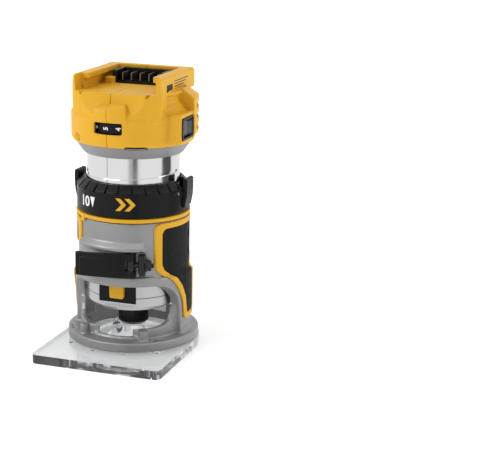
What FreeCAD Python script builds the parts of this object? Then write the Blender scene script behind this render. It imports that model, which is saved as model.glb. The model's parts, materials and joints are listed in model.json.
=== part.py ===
"""Cordless trim router in its fixed base, as an assembly of separate pieces.

Frame: millimetres, +Z up, origin on the spindle axis at the underside of the sub-base.
The front (straight edge of the sub-base, clamp lever, speed dial) faces -Y; +X is the switch side.
A bearing is an angle about +Z counted from the front, positive towards +X.
"""
import FreeCAD
import Part
import Sketcher
import os
import re

SIZES = {
    # How far a cutting tool, or a piece that is joined on, runs past the face it meets.
    "over": 1.0,
    # Sub-base and base flange.
    "plate_half": 50.2, "plate_front": 75.0, "plate_t": 6.7, "plate_corner": 5.0, "bit_r": 20.0,
    "guide_recess_r": 28.0, "guide_recess_depth": 2.2, "flange_r": 49.3, "flange_top": 13.7,
    "flange_bore_r": 36.0, "flange_rim_r": 38.6, "flange_rim_top": 15.4, "plate_screw_pcr": 42.8,
    "plate_screw_r": 2.0, "plate_screw_head_r": 3.9, "plate_screw_head": 2.6, "plate_screw_low": 0.8,
    "plate_screw_top": 12.4, "screw_gap": 0.15, "bump_r": 1.6, "bump_out": 52.3, "bump_top": 7.6,
    "bump_start": -40.0, "bump_step": 27.0, "guide_hole_pcr": 24.0, "guide_hole_r": 1.6, "post_pcr": 42.6,
    "post_r": 3.4, "post_bearing": -36.0, "post_top": 20.9, "boss_half": 3.2, "boss_in": 37.0,
    "boss_out": 44.6, "boss_bearing": 32.5, "rim_span": 58.0, "slot_half": 5.2, "slot_in": 42.4,
    "slot_out": 45.4, "slot_bearing": 47.0, "dowel_pcr": 46.0, "dowel_r": 1.1, "dowel_bearing": -62.0,
    "dowel_step": 7.0,
    # Casting: sleeve, legs and windows.
    "tube_r": 34.5, "sleeve_gap": 0.06, "barrel_r": 41.0, "barrel_low": 57.2, "barrel_top": 102.0,
    "shoulder_z": 61.4, "leg_r": 43.6, "leg_top": 59.6, "foot_top": 16.4, "foot_r": 45.0,
    "leg_bore_r": 36.6, "window_top": 55.2, "window_end": 60.0, "wall_r": 39.6, "wall_top": 21.2,
    "shelf_low": 81.9, "shelf_mid": 84.4, "shelf_top": 87.4, "shelf_r": 45.0, "shelf_start": -41.0,
    "shelf_end": 33.0, "skirt_low": 57.2, "skirt_top": 62.0, "skirt_r": 43.4, "skirt_start": -72.0,
    "skirt_end": 44.0, "neck_r": 38.0, "neck_top": 110.0, "slit_half": 0.4, "slit_top": 82.3,
    "slit_bearing": 29.5, "arc_slit_t": 1.3, "arc_slit_start": -32.5,
    # Collar and depth ring.
    "collar_low": 102.8, "collar_top": 105.5, "collar_r": 42.6, "pointer_half": 2.0, "pointer_low": 99.8,
    "pointer_bearing": -38.0, "retainer_span": 165.0, "ring_low": 106.3, "ring_shoulder": 124.5,
    "ring_top": 129.6, "ring_r": 42.0, "ring_top_r": 36.9, "ring_bore_r": 35.2, "ring_room_r": 36.6,
    "ring_seat_r": 38.3, "ring_floor": 110.4, "retainer_z": 108.2, "retainer_half": 0.5,
    "retainer_in": 37.2, "retainer_out": 38.9, "retainer_room": 39.2, "notch_half": 0.7,
    "notch_depth": 1.1, "notch_count": 26,
    # Release tabs.
    "tab_half": 6.8, "tab_slot_half": 7.1, "tab_out": 45.2, "tab_in": 41.4, "tab_top": 131.6,
    "tab_low": 110.3, "pivot_x": 39.6, "pivot_z": 121.0, "pivot_pin_r": 1.2, "pivot_gap": 0.06,
    "ear_r": 2.7, "ear_half": 10.6, "ear_in": 37.0, "ear_out": 41.6, "shoe_tip": 34.0,
    "shoe_half_tip": 0.45, "shoe_half_root": 0.9, "shoe_half_width": 3.0, "tab_rib_r": 0.5,
    "tab_rib_pitch": 1.7, "tab_rib_count": 4, "tab_coil_r": 1.85, "tab_coil_pitch": 0.85,
    "tab_coil_low": 1.8, "tab_coil_long": 3.4, "tab_wire": 0.32, "tab_coil_room": 2.5, "lead_turn": 10.0,
    "groove_depth": 0.7, "groove_half": 1.3, "groove_half_root": 0.9, "groove_start": 86.3,
    "groove_turns": 5, "shoe_right_z": 116.3,
    # Grips and trims on the barrel sides.
    "grip_t": 1.1, "grip_near": 10.0, "trim_t": 1.4, "grip_top": 101.4, "grip_edge": 30.0,
    "grip_low": 24.6, "trim_w": 4.4,
    # Clamp lever and its bolt.
    "lever_low": 62.8, "lever_top": 80.5, "lever_in": 41.5, "lever_out": 44.4, "bow_r": 75.0,
    "bow_x": -18.0, "bow_y": 25.5, "lever_t": 2.9, "bow_start": -5.8, "bow_end": 22.0,
    "lever_bearing": 20.0, "lever_pivot_r": 42.9, "lever_knuckle_r": 3.3, "lever_relief_r": 4.1,
    "lever_pin_r": 1.5, "pin_gap": 0.05, "eye_low": 68.0, "eye_top": 75.2, "eye_r": 2.9, "eye_gap": 0.4,
    "neck_long": 9.0, "bolt_r": 1.7, "bolt_end": 16.4, "lug_near": 5.6, "lug_far": 10.4, "lug_low": 64.6,
    "lug_top": 79.4, "lug_out": 46.4, "lug_seat": 39.0, "lug_round": 1.2, "washer_t": 0.9,
    "washer_r": 4.5, "nut_t": 3.4, "nut_r": 3.9, "lever_room_low": 61.9, "lever_room_top": 81.4,
    "lever_room_tail": -84.0, "panel_low": 66.5, "panel_top": 76.8, "panel_t": 0.5, "panel_start": -3.0,
    "panel_end": 14.0,
    # Motor housing.
    "nose_z": 33.5, "nose_step": 43.5, "nose_r": 34.2, "nose_foot_r": 30.5, "nose_foot_z": 36.5,
    "tube_in": 31.4, "tube_top": 152.0, "nose_wall_top": 46.0, "nose_recess_r": 27.0,
    "nose_recess_z": 35.2, "flat_y": 30.9, "flat_half": 15.6, "flat_low": 37.2, "flat_top": 56.0,
    "seam_bearing": -11.0, "seam_half": 0.3, "seam_depth": 0.35, "lamp_pcr": 22.0, "lamp_r": 2.6,
    "lamp_bearing": 125.0, "lamp_low": 34.7, "lamp_top": 39.5, "keyway_half": 2.1, "keyway_depth": 1.6,
    "keyway_bearing": 150.0, "key_r": 1.9, "key_in": 33.2, "key_z": 68.0, "key_out": 39.0,
    "lock_half": 14.6, "lock_gap": 0.1, "lock_low": 39.2, "lock_top": 54.4, "lock_t": 2.6,
    "lock_tube_r": 4.6, "lock_tube_end": 18.0, "lock_z": 47.9, "button_half": 5.6, "button_low": 42.7,
    "button_top": 53.1, "button_face": 33.6, "button_back": 30.2, "button_gap": 0.35,
    "button_travel": 3.2, "plunger_r": 1.9, "plunger_tip": 13.4, "plunger_room": 2.1,
    "lock_spring_r": 3.0, "spring_wire": 0.35, "spring_pitch": 1.5, "lock_spring_start": 21.0,
    "lock_spring_end": 29.6, "lock_round": 1.2, "button_round": 1.6, "button_edge": 0.5,
    # Turning parts.
    "shaft_r": 4.0, "shaft_top": 158.0, "nut_low": 15.5, "collet_nut_top": 28.5, "collet_nut_r": 11.5,
    "collet_r": 4.0, "collet_out": 6.4, "collet_low": 17.0, "collet_top": 31.0, "spindle_nose_r": 8.4,
    "spindle_nose_low": 20.0, "spindle_nose_top": 35.4, "nut_bore_r": 8.5, "bearing_low": 35.6,
    "bearing_high": 44.6, "bearing_r": 13.0, "lock_wheel_low": 46.3, "lock_wheel_top": 49.6,
    "lock_wheel_r": 13.0, "lock_notch_half": 2.2, "lock_notch_floor": 9.6, "lock_notches": 8,
    "fan_low": 57.0, "fan_web": 58.4, "fan_top": 64.0, "fan_r": 27.5, "fan_hub_r": 8.0, "fan_blades": 11,
    "rotor_low": 76.0, "rotor_top": 124.0, "rotor_r": 12.6, "magnet_r": 14.2, "magnets": 4,
    "magnet_half": 40.0, "stator_r": 15.0, "stator_low": 74.0, "stator_top": 126.0, "tooth_half": 2.6,
    "poles": 6, "coil_in": 17.5, "coil_out": 28.0, "coil_t": 7.0, "coil_start": 11.0, "coil_end": 49.0,
    "top_bearing_low": 150.0, "top_bearing_high": 156.0, "top_bearing_r": 8.0, "end_plate_low": 146.6,
    "end_plate_t": 2.4, "end_vent_half": 5.0, "end_vent_in": 15.0, "end_vent_out": 26.0,
    "collet_slit_half": 0.35, "flat_depth": 1.1, "flat_tall": 7.5, "nut_flat_half": 9.0,
    # Bowl and cap.
    "bowl_low": 149.0, "bowl_lip_r": 37.2, "bowl_top": 157.7, "bowl_r": 43.3, "bowl_wall": 2.2,
    "bowl_round": 1.0, "cap_low": 158.0, "cap_low_r": 44.6, "cap_r": 45.8, "cap_swell_z": 161.0,
    "band_top": 178.4, "ledge_top": 180.4, "ledge_r": 44.4, "crown_r": 38.0, "dock_floor": 196.0,
    "cap_wall": 2.6, "notch_in": 3.0, "notch_tall": 1.1, "cap_floor_t": 2.4, "rail_out": 34.0,
    "rail_in": 24.6, "rail_under": 29.0, "rail_front": 31.5, "rail_top": 207.6, "rail_lip_low": 203.4,
    "rail_low": 193.4, "rail_back": 37.0, "dock_back": 30.5, "rail_round": 5.0, "lip_front": 24.0,
    "rail_wall": 31.0, "pillar_reach": 46.6, "pillar_back": 22.0, "pillar_low": 170.0, "apron_half": 24.6,
    "apron_front": 38.0, "case_half": 60.0, "block_front": -10.0, "block_half": 21.0, "block_top": 205.6,
    "blade_count": 5, "blade_gap": 7.0, "blade_t": 0.8, "blade_low": 198.4, "blade_top": 203.6,
    "blade_tip": -12.5, "blade_back": 25.5, "block_wall": 3.5, "block_edge": 1.0, "parting_x": -1.7,
    "parting": 0.04, "window_w": 10.7, "window_shift": 1.4, "window_back": 30.0, "well_half": 12.0,
    "well_front": 14.0, "well_back": 26.0, "dial_low": 167.7, "dial_top": 176.0, "dial_r": 19.0,
    "dial_y": 25.4, "dial_gap": 0.5, "dial_edge": 0.5, "dial_axle_r": 2.0, "brow_low": 178.0,
    "brow_top": 189.0, "brow_r": 46.2, "brow_start": -16.0, "brow_split": -2.0, "brow_end": 15.0,
    "pocket_start": 47.0, "pocket_end": 88.0, "pocket_wall": 3.0, "pod_x": 46.9, "pod_inner": 36.0,
    "pod_round": 2.0, "pod_front": 25.8, "pod_back": 2.4, "pod_low": 160.0, "pod_top": 181.6,
    "bezel_front": 23.4, "bezel_back": 0.7, "bezel_low": 162.8, "bezel_top": 178.6, "bezel_depth": 8.2,
    "rocker_y": 12.05, "rocker_half": 8.8, "rocker_tall": 5.6, "rocker_z": 170.7, "rocker_axis_x": 43.4,
    "rocker_deep": 1.6, "rocker_gap": 0.8, "rocker_dish": 1.2, "rocker_pin_r": 0.94, "duct_r": 48.2,
    "duct_low": 162.6, "duct_shoulder": 190.6, "duct_top": 197.6, "duct_start": 88.0, "duct_end": 124.0,
    "vent_t": 3.2, "vent_low": 167.0, "vent_pitch": 8.0, "vent_count": 3, "vent_start": 95.0,
    "vent_end": 121.0, "cap_screw_r": 1.5, "cap_screw_head_r": 2.8, "cap_screw_end": 8.0,
    "cap_screw_seat": -22.0, "cap_screw_face": -24.4, "cap_post_r": 4.0, "guide_near": 18.5,
    "guide_low": 3.4, "guide_high": 10.0, "guide_top": 201.0, "board_low": 177.6, "board_t": 1.6,
    "board_r": 30.0, "board_bore": 6.0, "chips": 6, "chip_half": 4.0, "chip_in": 17.0, "chip_out": 24.0,
    "chip_top": 181.5,
}

WORD = re.compile(r"[a-z_]+")
XY, XZ, YZ = "XY_Plane", "XZ_Plane", "YZ_Plane"
NEAR = 1e-3
EXACT = 1e-4

doc = FreeCAD.newDocument("trim_router")
sheet = doc.addObject("Spreadsheet::Sheet", "Sizes")
made = []


def fill_sheet():
    for row, (alias, value) in enumerate(SIZES.items(), start=1):
        sheet.set("A%d" % row, alias)
        sheet.set("B%d" % row, str(value))
        sheet.setAlias("B%d" % row, alias)
    doc.recompute()


def bound(expression):
    """The same expression with each alias looked up in the sheet."""
    return WORD.sub(lambda hit: "Sizes." + hit.group(0) if hit.group(0) in SIZES else hit.group(0),
                    expression)


def number(expression):
    return float(sheet.evalExpression(expression))


def drive(item, prop, expression):
    item.setExpression(prop, bound(expression))


# ---------------------------------------------------------------- outlines and features
def rect(x0, x1, y0, y1):
    return [(x0, y0), (x1, y0), (x1, y1), (x0, y1)]


def disc(x, y, radius):
    return ("disc", x, y, radius)


def draw_disc(sketch, loop):
    _, x, y, radius = loop
    centre = FreeCAD.Vector(number(x), number(y), 0)
    edge = sketch.addGeometry(Part.Circle(centre, FreeCAD.Vector(0, 0, 1), number(radius)), False)
    size = sketch.addConstraint(Sketcher.Constraint("Radius", edge, number(radius)))
    drive(sketch, "Constraints[%d]" % size, radius)
    for axis, place in (("DistanceX", x), ("DistanceY", y)):
        spot = sketch.addConstraint(Sketcher.Constraint(axis, -1, 1, edge, 3, number(place)))
        drive(sketch, "Constraints[%d]" % spot, place)


def draw_outline(sketch, loop):
    corners = [FreeCAD.Vector(number(x), number(y), 0) for x, y in loop]
    first = sketch.GeometryCount
    count = len(corners)
    for i in range(count):
        sketch.addGeometry(Part.LineSegment(corners[i], corners[(i + 1) % count]), False)
    for i in range(count):
        sketch.addConstraint(Sketcher.Constraint("Coincident", first + i, 2, first + (i + 1) % count, 1))
    for i, place in enumerate(loop):
        for axis, value in zip(("DistanceX", "DistanceY"), place):
            spot = sketch.addConstraint(Sketcher.Constraint(axis, -1, 1, first + i, 1, number(value)))
            drive(sketch, "Constraints[%d]" % spot, value)


def new_sketch(body, plane, loops, lift="0"):
    sketch = body.newObject("Sketcher::SketchObject", body.Name + "_outline")
    sketch.AttachmentSupport = [(f, "") for f in body.Origin.OriginFeatures if f.Role == plane]
    sketch.MapMode = "FlatFace"
    drive(sketch, "AttachmentOffset.Base.z", lift)
    for loop in loops:
        draw = draw_disc if loop[0] == "disc" else draw_outline
        draw(sketch, loop)
    return sketch


def new_body(name, spin="0"):
    body = doc.addObject("PartDesign::Body", name)
    body.Placement = FreeCAD.Placement(FreeCAD.Vector(), FreeCAD.Rotation(FreeCAD.Vector(0, 0, 1), 1))
    drive(body, "Placement.Rotation.Angle", spin)
    return body


def turn(name, points, start=None, end=None):
    """A turned solid: (radius, height) points about Z, all round or from one bearing to another."""
    whole = start is None
    body = new_body(name, "0" if whole else "(%s + %s) / 2 - 90" % (start, end))
    sketch = new_sketch(body, XZ, [points])
    solid = body.newObject("PartDesign::Revolution", name + "_turned")
    solid.Profile = sketch
    solid.ReferenceAxis = (sketch, ["V_Axis"])
    solid.Midplane = not whole
    drive(solid, "Angle", "360" if whole else "(%s) - (%s)" % (end, start))
    return body


def prism(name, plane, loops, low, high, spin="0"):
    """An outline on an origin plane, padded from low to high along the plane's normal (+Z, -Y or +X)."""
    body = new_body(name, spin)
    sketch = new_sketch(body, plane, loops, low)
    solid = body.newObject("PartDesign::Pad", name + "_padded")
    solid.Profile = sketch
    drive(solid, "Length", "(%s) - (%s)" % (high, low))
    return body


def ring(name, inner, outer, low, high, start=None, end=None):
    return turn(name, rect(inner, outer, low, high), start, end)


def ring_of(body, feature, count):
    """Repeat the body's last cut or boss about its Z axis."""
    pattern = body.newObject("PartDesign::PolarPattern", feature.Name + "_ring")
    pattern.Originals = [feature]
    pattern.Axis = ([f for f in body.Origin.OriginFeatures if f.Role == "Z_Axis"][0], [""])
    pattern.Angle = 360
    drive(pattern, "Occurrences", count)
    body.Tip = pattern


def soften(body, kind, size, test):
    """Fillet or chamfer the edges of a body that pass a test."""
    doc.recompute()
    base = body.Tip
    names = ["Edge%d" % i for i, edge in enumerate(base.Shape.Edges, start=1) if test(edge)]
    dress = body.newObject("PartDesign::" + kind, body.Name + "_" + kind.lower())
    dress.Base = (base, names)
    drive(dress, "Radius" if kind == "Fillet" else "Size", size)
    return body


def upright(edge):
    a, b = edge.Vertexes[0].Point, edge.Vertexes[-1].Point
    return abs(a.x - b.x) < EXACT and abs(a.y - b.y) < EXACT and abs(a.z - b.z) > NEAR


def level_at(height):
    level = number(height)
    return lambda edge: abs(edge.BoundBox.ZMin - level) < NEAR and abs(edge.BoundBox.ZMax - level) < NEAR


# ---------------------------------------------------------------- booleans and finished pieces
def cut(name, base, *tools):
    result = doc.addObject("Part::Cut", name)
    result.Base = base
    result.Tool = tools[0] if len(tools) == 1 else fuse(name + "_tools", *tools)
    return result


def fuse(name, *shapes):
    result = doc.addObject("Part::MultiFuse", name)
    result.Shapes = list(shapes)
    return result


def common(name, *shapes):
    result = doc.addObject("Part::MultiCommon", name)
    result.Shapes = list(shapes)
    return result


def group(name, *shapes):
    result = doc.addObject("Part::Compound", name)
    result.Links = list(shapes)
    return result


def piece(label, item):
    """A finished sub-part: its label names the node."""
    item.Label = label
    made.append(item)
    return item


def polar_prisms(name, count, first, step, plane, loops, low, high):
    return [prism("%s_%d" % (name, i), plane, loops, low, high, "%s + %d * (%s)" % (first, i, step))
            for i in range(count)]


def pair_at(name, bearing, plane, loops, low, high):
    """The same prism at a bearing and at its mirror image on the left."""
    return polar_prisms(name, 2, bearing, "360 - 2 * (%s)" % bearing, plane, loops, low, high)


def count_of(alias):
    return int(SIZES[alias])


def across(sign, near, far, low, high):
    """A rectangle between two distances from the axis, on the right ("") or on the left ("-")."""
    x0, x1 = (near, far) if sign == "" else ("-(%s)" % far, "-(%s)" % near)
    return rect(x0, x1, low, high)


def coil_spring(name, radius, pitch, length, wire_r, turned, place):
    """A round wire wound along Z, then turned about X and moved into place."""
    path = doc.addObject("Part::Helix", name + "_path")
    path.Radius = number(radius)
    path.Pitch = number(pitch)
    drive(path, "Height", length)
    wire = doc.addObject("Part::Circle", name + "_wire")
    drive(wire, "Radius", wire_r)
    across_path = FreeCAD.Rotation(FreeCAD.Vector(1, 0, 0), 90)
    wire.Placement = FreeCAD.Placement(FreeCAD.Vector(number(radius), 0, 0), across_path)
    spring = doc.addObject("Part::Sweep", name)
    spring.Sections = [wire]
    spring.Spine = (path, ["Edge1"])
    spring.Solid = True
    spring.Frenet = True
    spring.Placement = FreeCAD.Placement(FreeCAD.Vector(),
                                         FreeCAD.Rotation(FreeCAD.Vector(1, 0, 0), turned))
    for axis, value in zip("xyz", place):
        drive(spring, "Placement.Base." + axis, value)
    return spring


fill_sheet()


# ---------------------------------------------------------------- fixed base
FRONT_AND_REAR = (("front", "-"), ("rear", ""))
SIDES = (("right", ""), ("left", "-"))


def plate_screw_spots(name, radius, low, high):
    return polar_prisms(name, 4, "45", "90", XY, [disc("0", "-plate_screw_pcr", radius)], low, high)


def make_sub_base():
    tail = prism("plate_tail", XY, [disc("0", "0", "plate_half")], "0", "plate_t")
    front = prism("plate_front_half", XY, [rect("-plate_half", "plate_half", "-plate_front", "0")], "0",
                  "plate_t")
    corner = number("-plate_front")
    soften(front, "Fillet", "plate_corner", lambda e: upright(e) and abs(e.Vertexes[0].Y - corner) < NEAR)
    bumps = polar_prisms("plate_bump", 4, "bump_start", "bump_step", XY, [disc("0", "-bump_out", "bump_r")],
                         "plate_t - over", "bump_top")
    solid = fuse("plate_solid", tail, front, *bumps)
    top = "plate_t + over"
    bore = prism("plate_bore", XY, [disc("0", "0", "bit_r")], "-over", top)
    recess = prism("plate_recess", XY, [disc("0", "0", "guide_recess_r")], "plate_t - guide_recess_depth",
                   top)
    holes = plate_screw_spots("plate_hole", "plate_screw_r + screw_gap", "-over", top)
    sinks = plate_screw_spots("plate_sink", "plate_screw_head_r + 2 * screw_gap", "-over",
                              "plate_screw_low + plate_screw_head")
    guides = polar_prisms("plate_guide_hole", 2, "0", "180", XY,
                          [disc("0", "-guide_hole_pcr", "guide_hole_r")],
                          "-over", top)
    piece("sub_base", cut("plate_cut", solid, bore, recess, *(holes + sinks + guides)))


def make_sub_base_screws():
    shape = [("0", "plate_screw_low"), ("plate_screw_head_r", "plate_screw_low"),
             ("plate_screw_head_r", "plate_screw_low + 0.6"),
             ("plate_screw_r", "plate_screw_low + plate_screw_head"),
             ("plate_screw_r", "plate_screw_top"), ("0", "plate_screw_top")]
    screws = []
    for i in range(4):
        screw = turn("plate_screw_%d" % i, shape)
        drive(screw, "Placement.Base.x", "plate_screw_pcr * cos(%d)" % (45 + 90 * i))
        drive(screw, "Placement.Base.y", "plate_screw_pcr * sin(%d)" % (45 + 90 * i))
        screws.append(screw)
    piece("sub_base_screws", group("plate_screws", *screws))


CASTING_SIDE = [("barrel_r", "barrel_top"), ("barrel_r", "shoulder_z"), ("leg_r", "leg_top"),
                ("leg_r", "foot_top")]
# One quarter of a window's arch from the side: (distance in front of or behind the axis, height).
ARCH = [("10.2", "flange_top"), ("11.0", "30"), ("11.8", "37"), ("13.6", "42.5"), ("16.6", "47"),
        ("20.4", "50.4"),
        ("25", "53.2"), ("30.5", "54.8"), ("window_end", "window_top")]
# The low wall that each leg's foot runs out into, along the bit opening.
HEEL = [("9", "flange_top"), ("9", "35"), ("12.6", "35"), ("13.2", "29.5"), ("15.6", "25.4"),
        ("20", "22.6"),
        ("27", "wall_top"), ("34", "wall_top"), ("34", "flange_top")]
BOLT_Z = "(eye_low + eye_top) / 2"


def casting_shell():
    bore = [("flange_bore_r", "plate_t"), ("flange_bore_r", "flange_top + 2"),
            ("leg_bore_r", "flange_top + 2"),
            ("leg_bore_r", "barrel_low - 2"), ("tube_r + sleeve_gap", "barrel_low")]
    top = [("tube_r + sleeve_gap", "neck_top"), ("neck_r", "neck_top"), ("neck_r", "barrel_top")]
    flange = [("foot_r", "flange_top"), ("flange_r", "flange_top"), ("flange_r", "plate_t")]
    shell = turn("casting_shell", top + CASTING_SIDE + flange + bore)
    windows = [prism("window_" + end, YZ, [[(sign + y, z) for y,
                                            z in ARCH] + [(sign + "window_end", "flange_top")]],
                     "-window_end", "window_end") for end, sign in FRONT_AND_REAR]
    return cut("casting_legs", shell, *windows)


def casting_additions():
    shelf = turn("casting_shelf", [("barrel_r - over", "shelf_low"), ("shelf_r", "shelf_low"),
                                   ("shelf_r", "shelf_mid"), ("barrel_r - over", "shelf_top + 1.5")],
                 "shelf_start", "shelf_end")
    skirt = ring("casting_skirt", "barrel_r - over", "skirt_r", "skirt_low", "skirt_top", "skirt_start",
                 "skirt_end")
    heels = [common("heel_" + end, ring("heel_ring_" + end, "flange_bore_r", "wall_r",
                                        "flange_top - over", "36"),
                    prism("heel_side_" + end, YZ, [[(sign + y, z) for y, z in HEEL]], "-foot_r", "foot_r"))
             for end, sign in FRONT_AND_REAR]
    post = prism("flange_post", XY, [disc("0", "-post_pcr", "post_r")], "flange_top - over", "post_top",
                 "post_bearing")
    boss = prism("flange_boss", XY, [rect("-boss_half", "boss_half", "-boss_out", "-boss_in")],
                 "flange_top - over",
                 "wall_top", "boss_bearing")
    rim = ring("flange_rim", "flange_bore_r", "flange_rim_r", "flange_top - over", "flange_rim_top",
               "-rim_span",
               "rim_span")
    return [shelf, skirt, post, boss, rim] + heels


def clamp_cuts():
    """The slit and the rooms that the clamp needs in the barrel."""
    return [
        prism("clamp_slit", XY, [rect("-slit_half", "slit_half", "-window_end", "-tube_r + 2 * over")],
              "window_top - 8", "slit_top", "slit_bearing"),
        ring("arc_slit", "tube_r - over", "leg_r", "lever_room_top - arc_slit_t / 2",
             "lever_room_top + arc_slit_t / 2", "arc_slit_start", "shelf_end"),
        prism("pivot_relief", XY, [disc("0", "-lever_pivot_r", "lever_relief_r")], "lever_room_low",
              "lever_room_top", "lever_bearing"),
        lug_block("clamp_lug_seat"),
        prism("clamp_nut_room", YZ, [disc("-lever_pivot_r", BOLT_Z, "washer_r + 2 * screw_gap")],
              "lug_far - over",
              "lug_far + washer_t + nut_t + over", "lever_bearing"),
        prism("clamp_bolt_hole", YZ, [disc("-lever_pivot_r", BOLT_Z, "bolt_r + screw_gap")], "0",
              "bolt_end + over",
              "lever_bearing"),
    ]


def make_base_casting():
    tools = clamp_cuts()
    tools.append(ring("retainer_room", "retainer_in - 0.1", "neck_r + over",
                      "retainer_z - retainer_half - 0.1",
                      "retainer_z + retainer_half + 0.1"))
    tools.append(prism("flange_slot", XY, [rect("-slot_half", "slot_half", "-slot_out", "-slot_in")],
                       "flange_top - 3", "flange_top + over", "slot_bearing"))
    tools += polar_prisms("dowel_hole", 2, "dowel_bearing", "dowel_step", XY,
                          [disc("0", "-dowel_pcr", "dowel_r")],
                          "flange_top - 4", "flange_top + over")
    tools += plate_screw_spots("flange_thread", "plate_screw_r + 0.02", "plate_t - over",
                               "plate_screw_top + 0.4")
    tools += pair_at("key_hole", "keyway_bearing", XZ, [disc("0", "key_z", "key_r")], "30", "key_out")
    solid = fuse("casting_solid", casting_shell(), *casting_additions())
    piece("base_casting", cut("casting_cut", solid, *tools))


def level_y(edge):
    a, b = edge.Vertexes[0].Point, edge.Vertexes[-1].Point
    return abs(a.x - b.x) < EXACT and abs(a.z - b.z) < EXACT


def make_guide_keys():
    keys = pair_at("guide_key", "keyway_bearing", XZ, [disc("0", "key_z", "key_r")], "key_in", "key_out")
    piece("guide_keys", group("guide_key_pair", *keys))


def make_collar():
    collar = ring("collar_ring", "neck_r + 0.05", "collar_r", "collar_low", "collar_top")
    pointer = prism("collar_pointer", XY, [rect("-pointer_half", "pointer_half", "-collar_r - 0.4",
                                                "-barrel_r - 0.1")],
                    "pointer_low", "collar_top - 0.6", "pointer_bearing")
    piece("base_collar", fuse("collar_solid", collar, pointer))
    piece("ring_retainer", ring("retainer_wire", "retainer_in", "retainer_out",
                                "retainer_z - retainer_half",
                                "retainer_z + retainer_half", "-retainer_span", "retainer_span"))


# Borders of the rubber pads and their trims from the side: (distance from the axis, height), downwards.
TRIM_FRONT = [("grip_edge - 3.6", "grip_top"), ("grip_edge - 1", "grip_top - 1.2"),
              ("grip_edge", "grip_top - 4"),
              ("grip_edge", "70"), ("28.8", "66"), ("25.9", "62.5"), ("19.9", "57.4"), ("14.5", "50.2"),
              ("9.8", "41.2"),
              ("8.2", "33"), ("7.6", "grip_low + 2"), ("5.8", "grip_low")]
GRIP_FRONT = [("grip_edge - 7", "grip_top - trim_w"), ("grip_edge - 5.2", "grip_top - trim_w - 1"),
              ("grip_edge - 4.4", "grip_top - trim_w - 3.4"), ("grip_edge - 4.4", "70"), ("24.3", "66"),
              ("20.9", "63"),
              ("15.6", "58.3"), ("10.4", "51.6"), ("5.6", "42"), ("4.2", "34"), ("3.6", "grip_low + 5"),
              ("2.4", "grip_low + 3.8")]
TRIM_REAR = [("grip_edge - 3.6", "grip_top"), ("grip_edge", "grip_top - 4"), ("grip_edge", "72"),
             ("27", "68.5"),
             ("16", "66"), ("13.6", "62"), ("13.6", "grip_low + 4"), ("10.5", "grip_low")]
GRIP_REAR = [("grip_edge - 7", "grip_top - trim_w"), ("grip_edge - 4.4", "grip_top - trim_w - 3.4"),
             ("grip_edge - 4.4", "75"), ("23", "72.6"), ("12", "70"), ("9.2", "64"),
             ("9.2", "grip_low + 6.5"),
             ("7", "grip_low + 3.8")]


def side_outline(front, rear):
    """A closed outline from the side, from a front border and a rear border that both run downwards."""
    return [("-(%s)" % y, z) for y, z in front] + list(reversed(rear))


def side_skin(name, thickness):
    """A skin of even thickness over the casting's side."""
    outer = [("%s + %s" % (r, thickness), z) for r, z in CASTING_SIDE]
    return turn(name, outer + list(reversed(CASTING_SIDE)))


def make_grips():
    lever_room = ring("grip_lever_room", "barrel_r - over", "barrel_r + 6", "skirt_low - 0.1",
                      "lever_room_top",
                      "lever_room_tail", "0")
    spans = {"right": ("grip_near", "window_end"), "left": ("-window_end", "-grip_near")}
    for side, (near, far) in spans.items():
        full = prism("grip_full_" + side, YZ, [side_outline(TRIM_FRONT, TRIM_REAR)], near, far)
        core = prism("grip_core_" + side, YZ, [side_outline(GRIP_FRONT, GRIP_REAR)], near, far)
        inner = prism("grip_inner_" + side, YZ, [side_outline(GRIP_FRONT, GRIP_REAR)], near, far)
        trim_area = common("trim_full_" + side, side_skin("trim_skin_" + side, "trim_t"), full)
        trim = cut("trim_band_" + side, trim_area, core)
        pad = common("grip_pad_" + side, side_skin("grip_skin_" + side, "grip_t"), inner)
        if side == "left":
            trim = cut("trim_band_cut", trim, lever_room)
            pad = cut("grip_pad_cut", pad, lever_room)
        piece("grip_trim_" + side, trim)
        piece("grip_" + side, pad)


def lug_block(name):
    return prism(name, XY, [rect("lug_near", "lug_far", "-lug_out", "-lug_seat")], "lug_low", "lug_top",
                 "lever_bearing")


def make_clamp():
    """Everything here is drawn at the lever's bearing: local x runs along the bolt, -y points outwards."""
    ring_loops = [disc("0", "-lever_pivot_r", "eye_r"),
                  disc("0", "-lever_pivot_r", "lever_pin_r + pin_gap")]
    eye = prism("bolt_eye", XY, ring_loops, "eye_low", "eye_top", "lever_bearing")
    shank = prism("bolt_shank", YZ, [disc("-lever_pivot_r", BOLT_Z, "bolt_r")], "eye_r - 0.6", "bolt_end",
                  "lever_bearing")
    piece("clamp_bolt", fuse("clamp_bolt_solid", eye, shank))
    hole = disc("-lever_pivot_r", BOLT_Z, "bolt_r + 0.02")
    lug = lug_block("clamp_lug_block")
    face = number("-lug_out")
    soften(lug, "Fillet", "lug_round", lambda e: upright(e) and abs(e.Vertexes[0].Y - face) < NEAR)
    lug_hole = prism("clamp_lug_hole", YZ, [hole], "lug_near - over", "lug_far + over", "lever_bearing")
    piece("clamp_lug", cut("clamp_lug_cut", lug, lug_hole))
    washer_face, nut_face = "lug_far + washer_t", "lug_far + washer_t + nut_t"
    washer = prism("washer_disc", YZ, [disc("-lever_pivot_r", BOLT_Z, "washer_r"), hole], "lug_far",
                   washer_face,
                   "lever_bearing")
    piece("clamp_washer", washer)
    hexagon = [("-lever_pivot_r + nut_r * cos(%d)" % turned, BOLT_Z + " + nut_r * sin(%d)" % turned)
               for turned in range(0, 360, 60)]
    piece("clamp_nut", prism("nut_hex", YZ, [hexagon, hole], washer_face, nut_face, "lever_bearing"))


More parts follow.
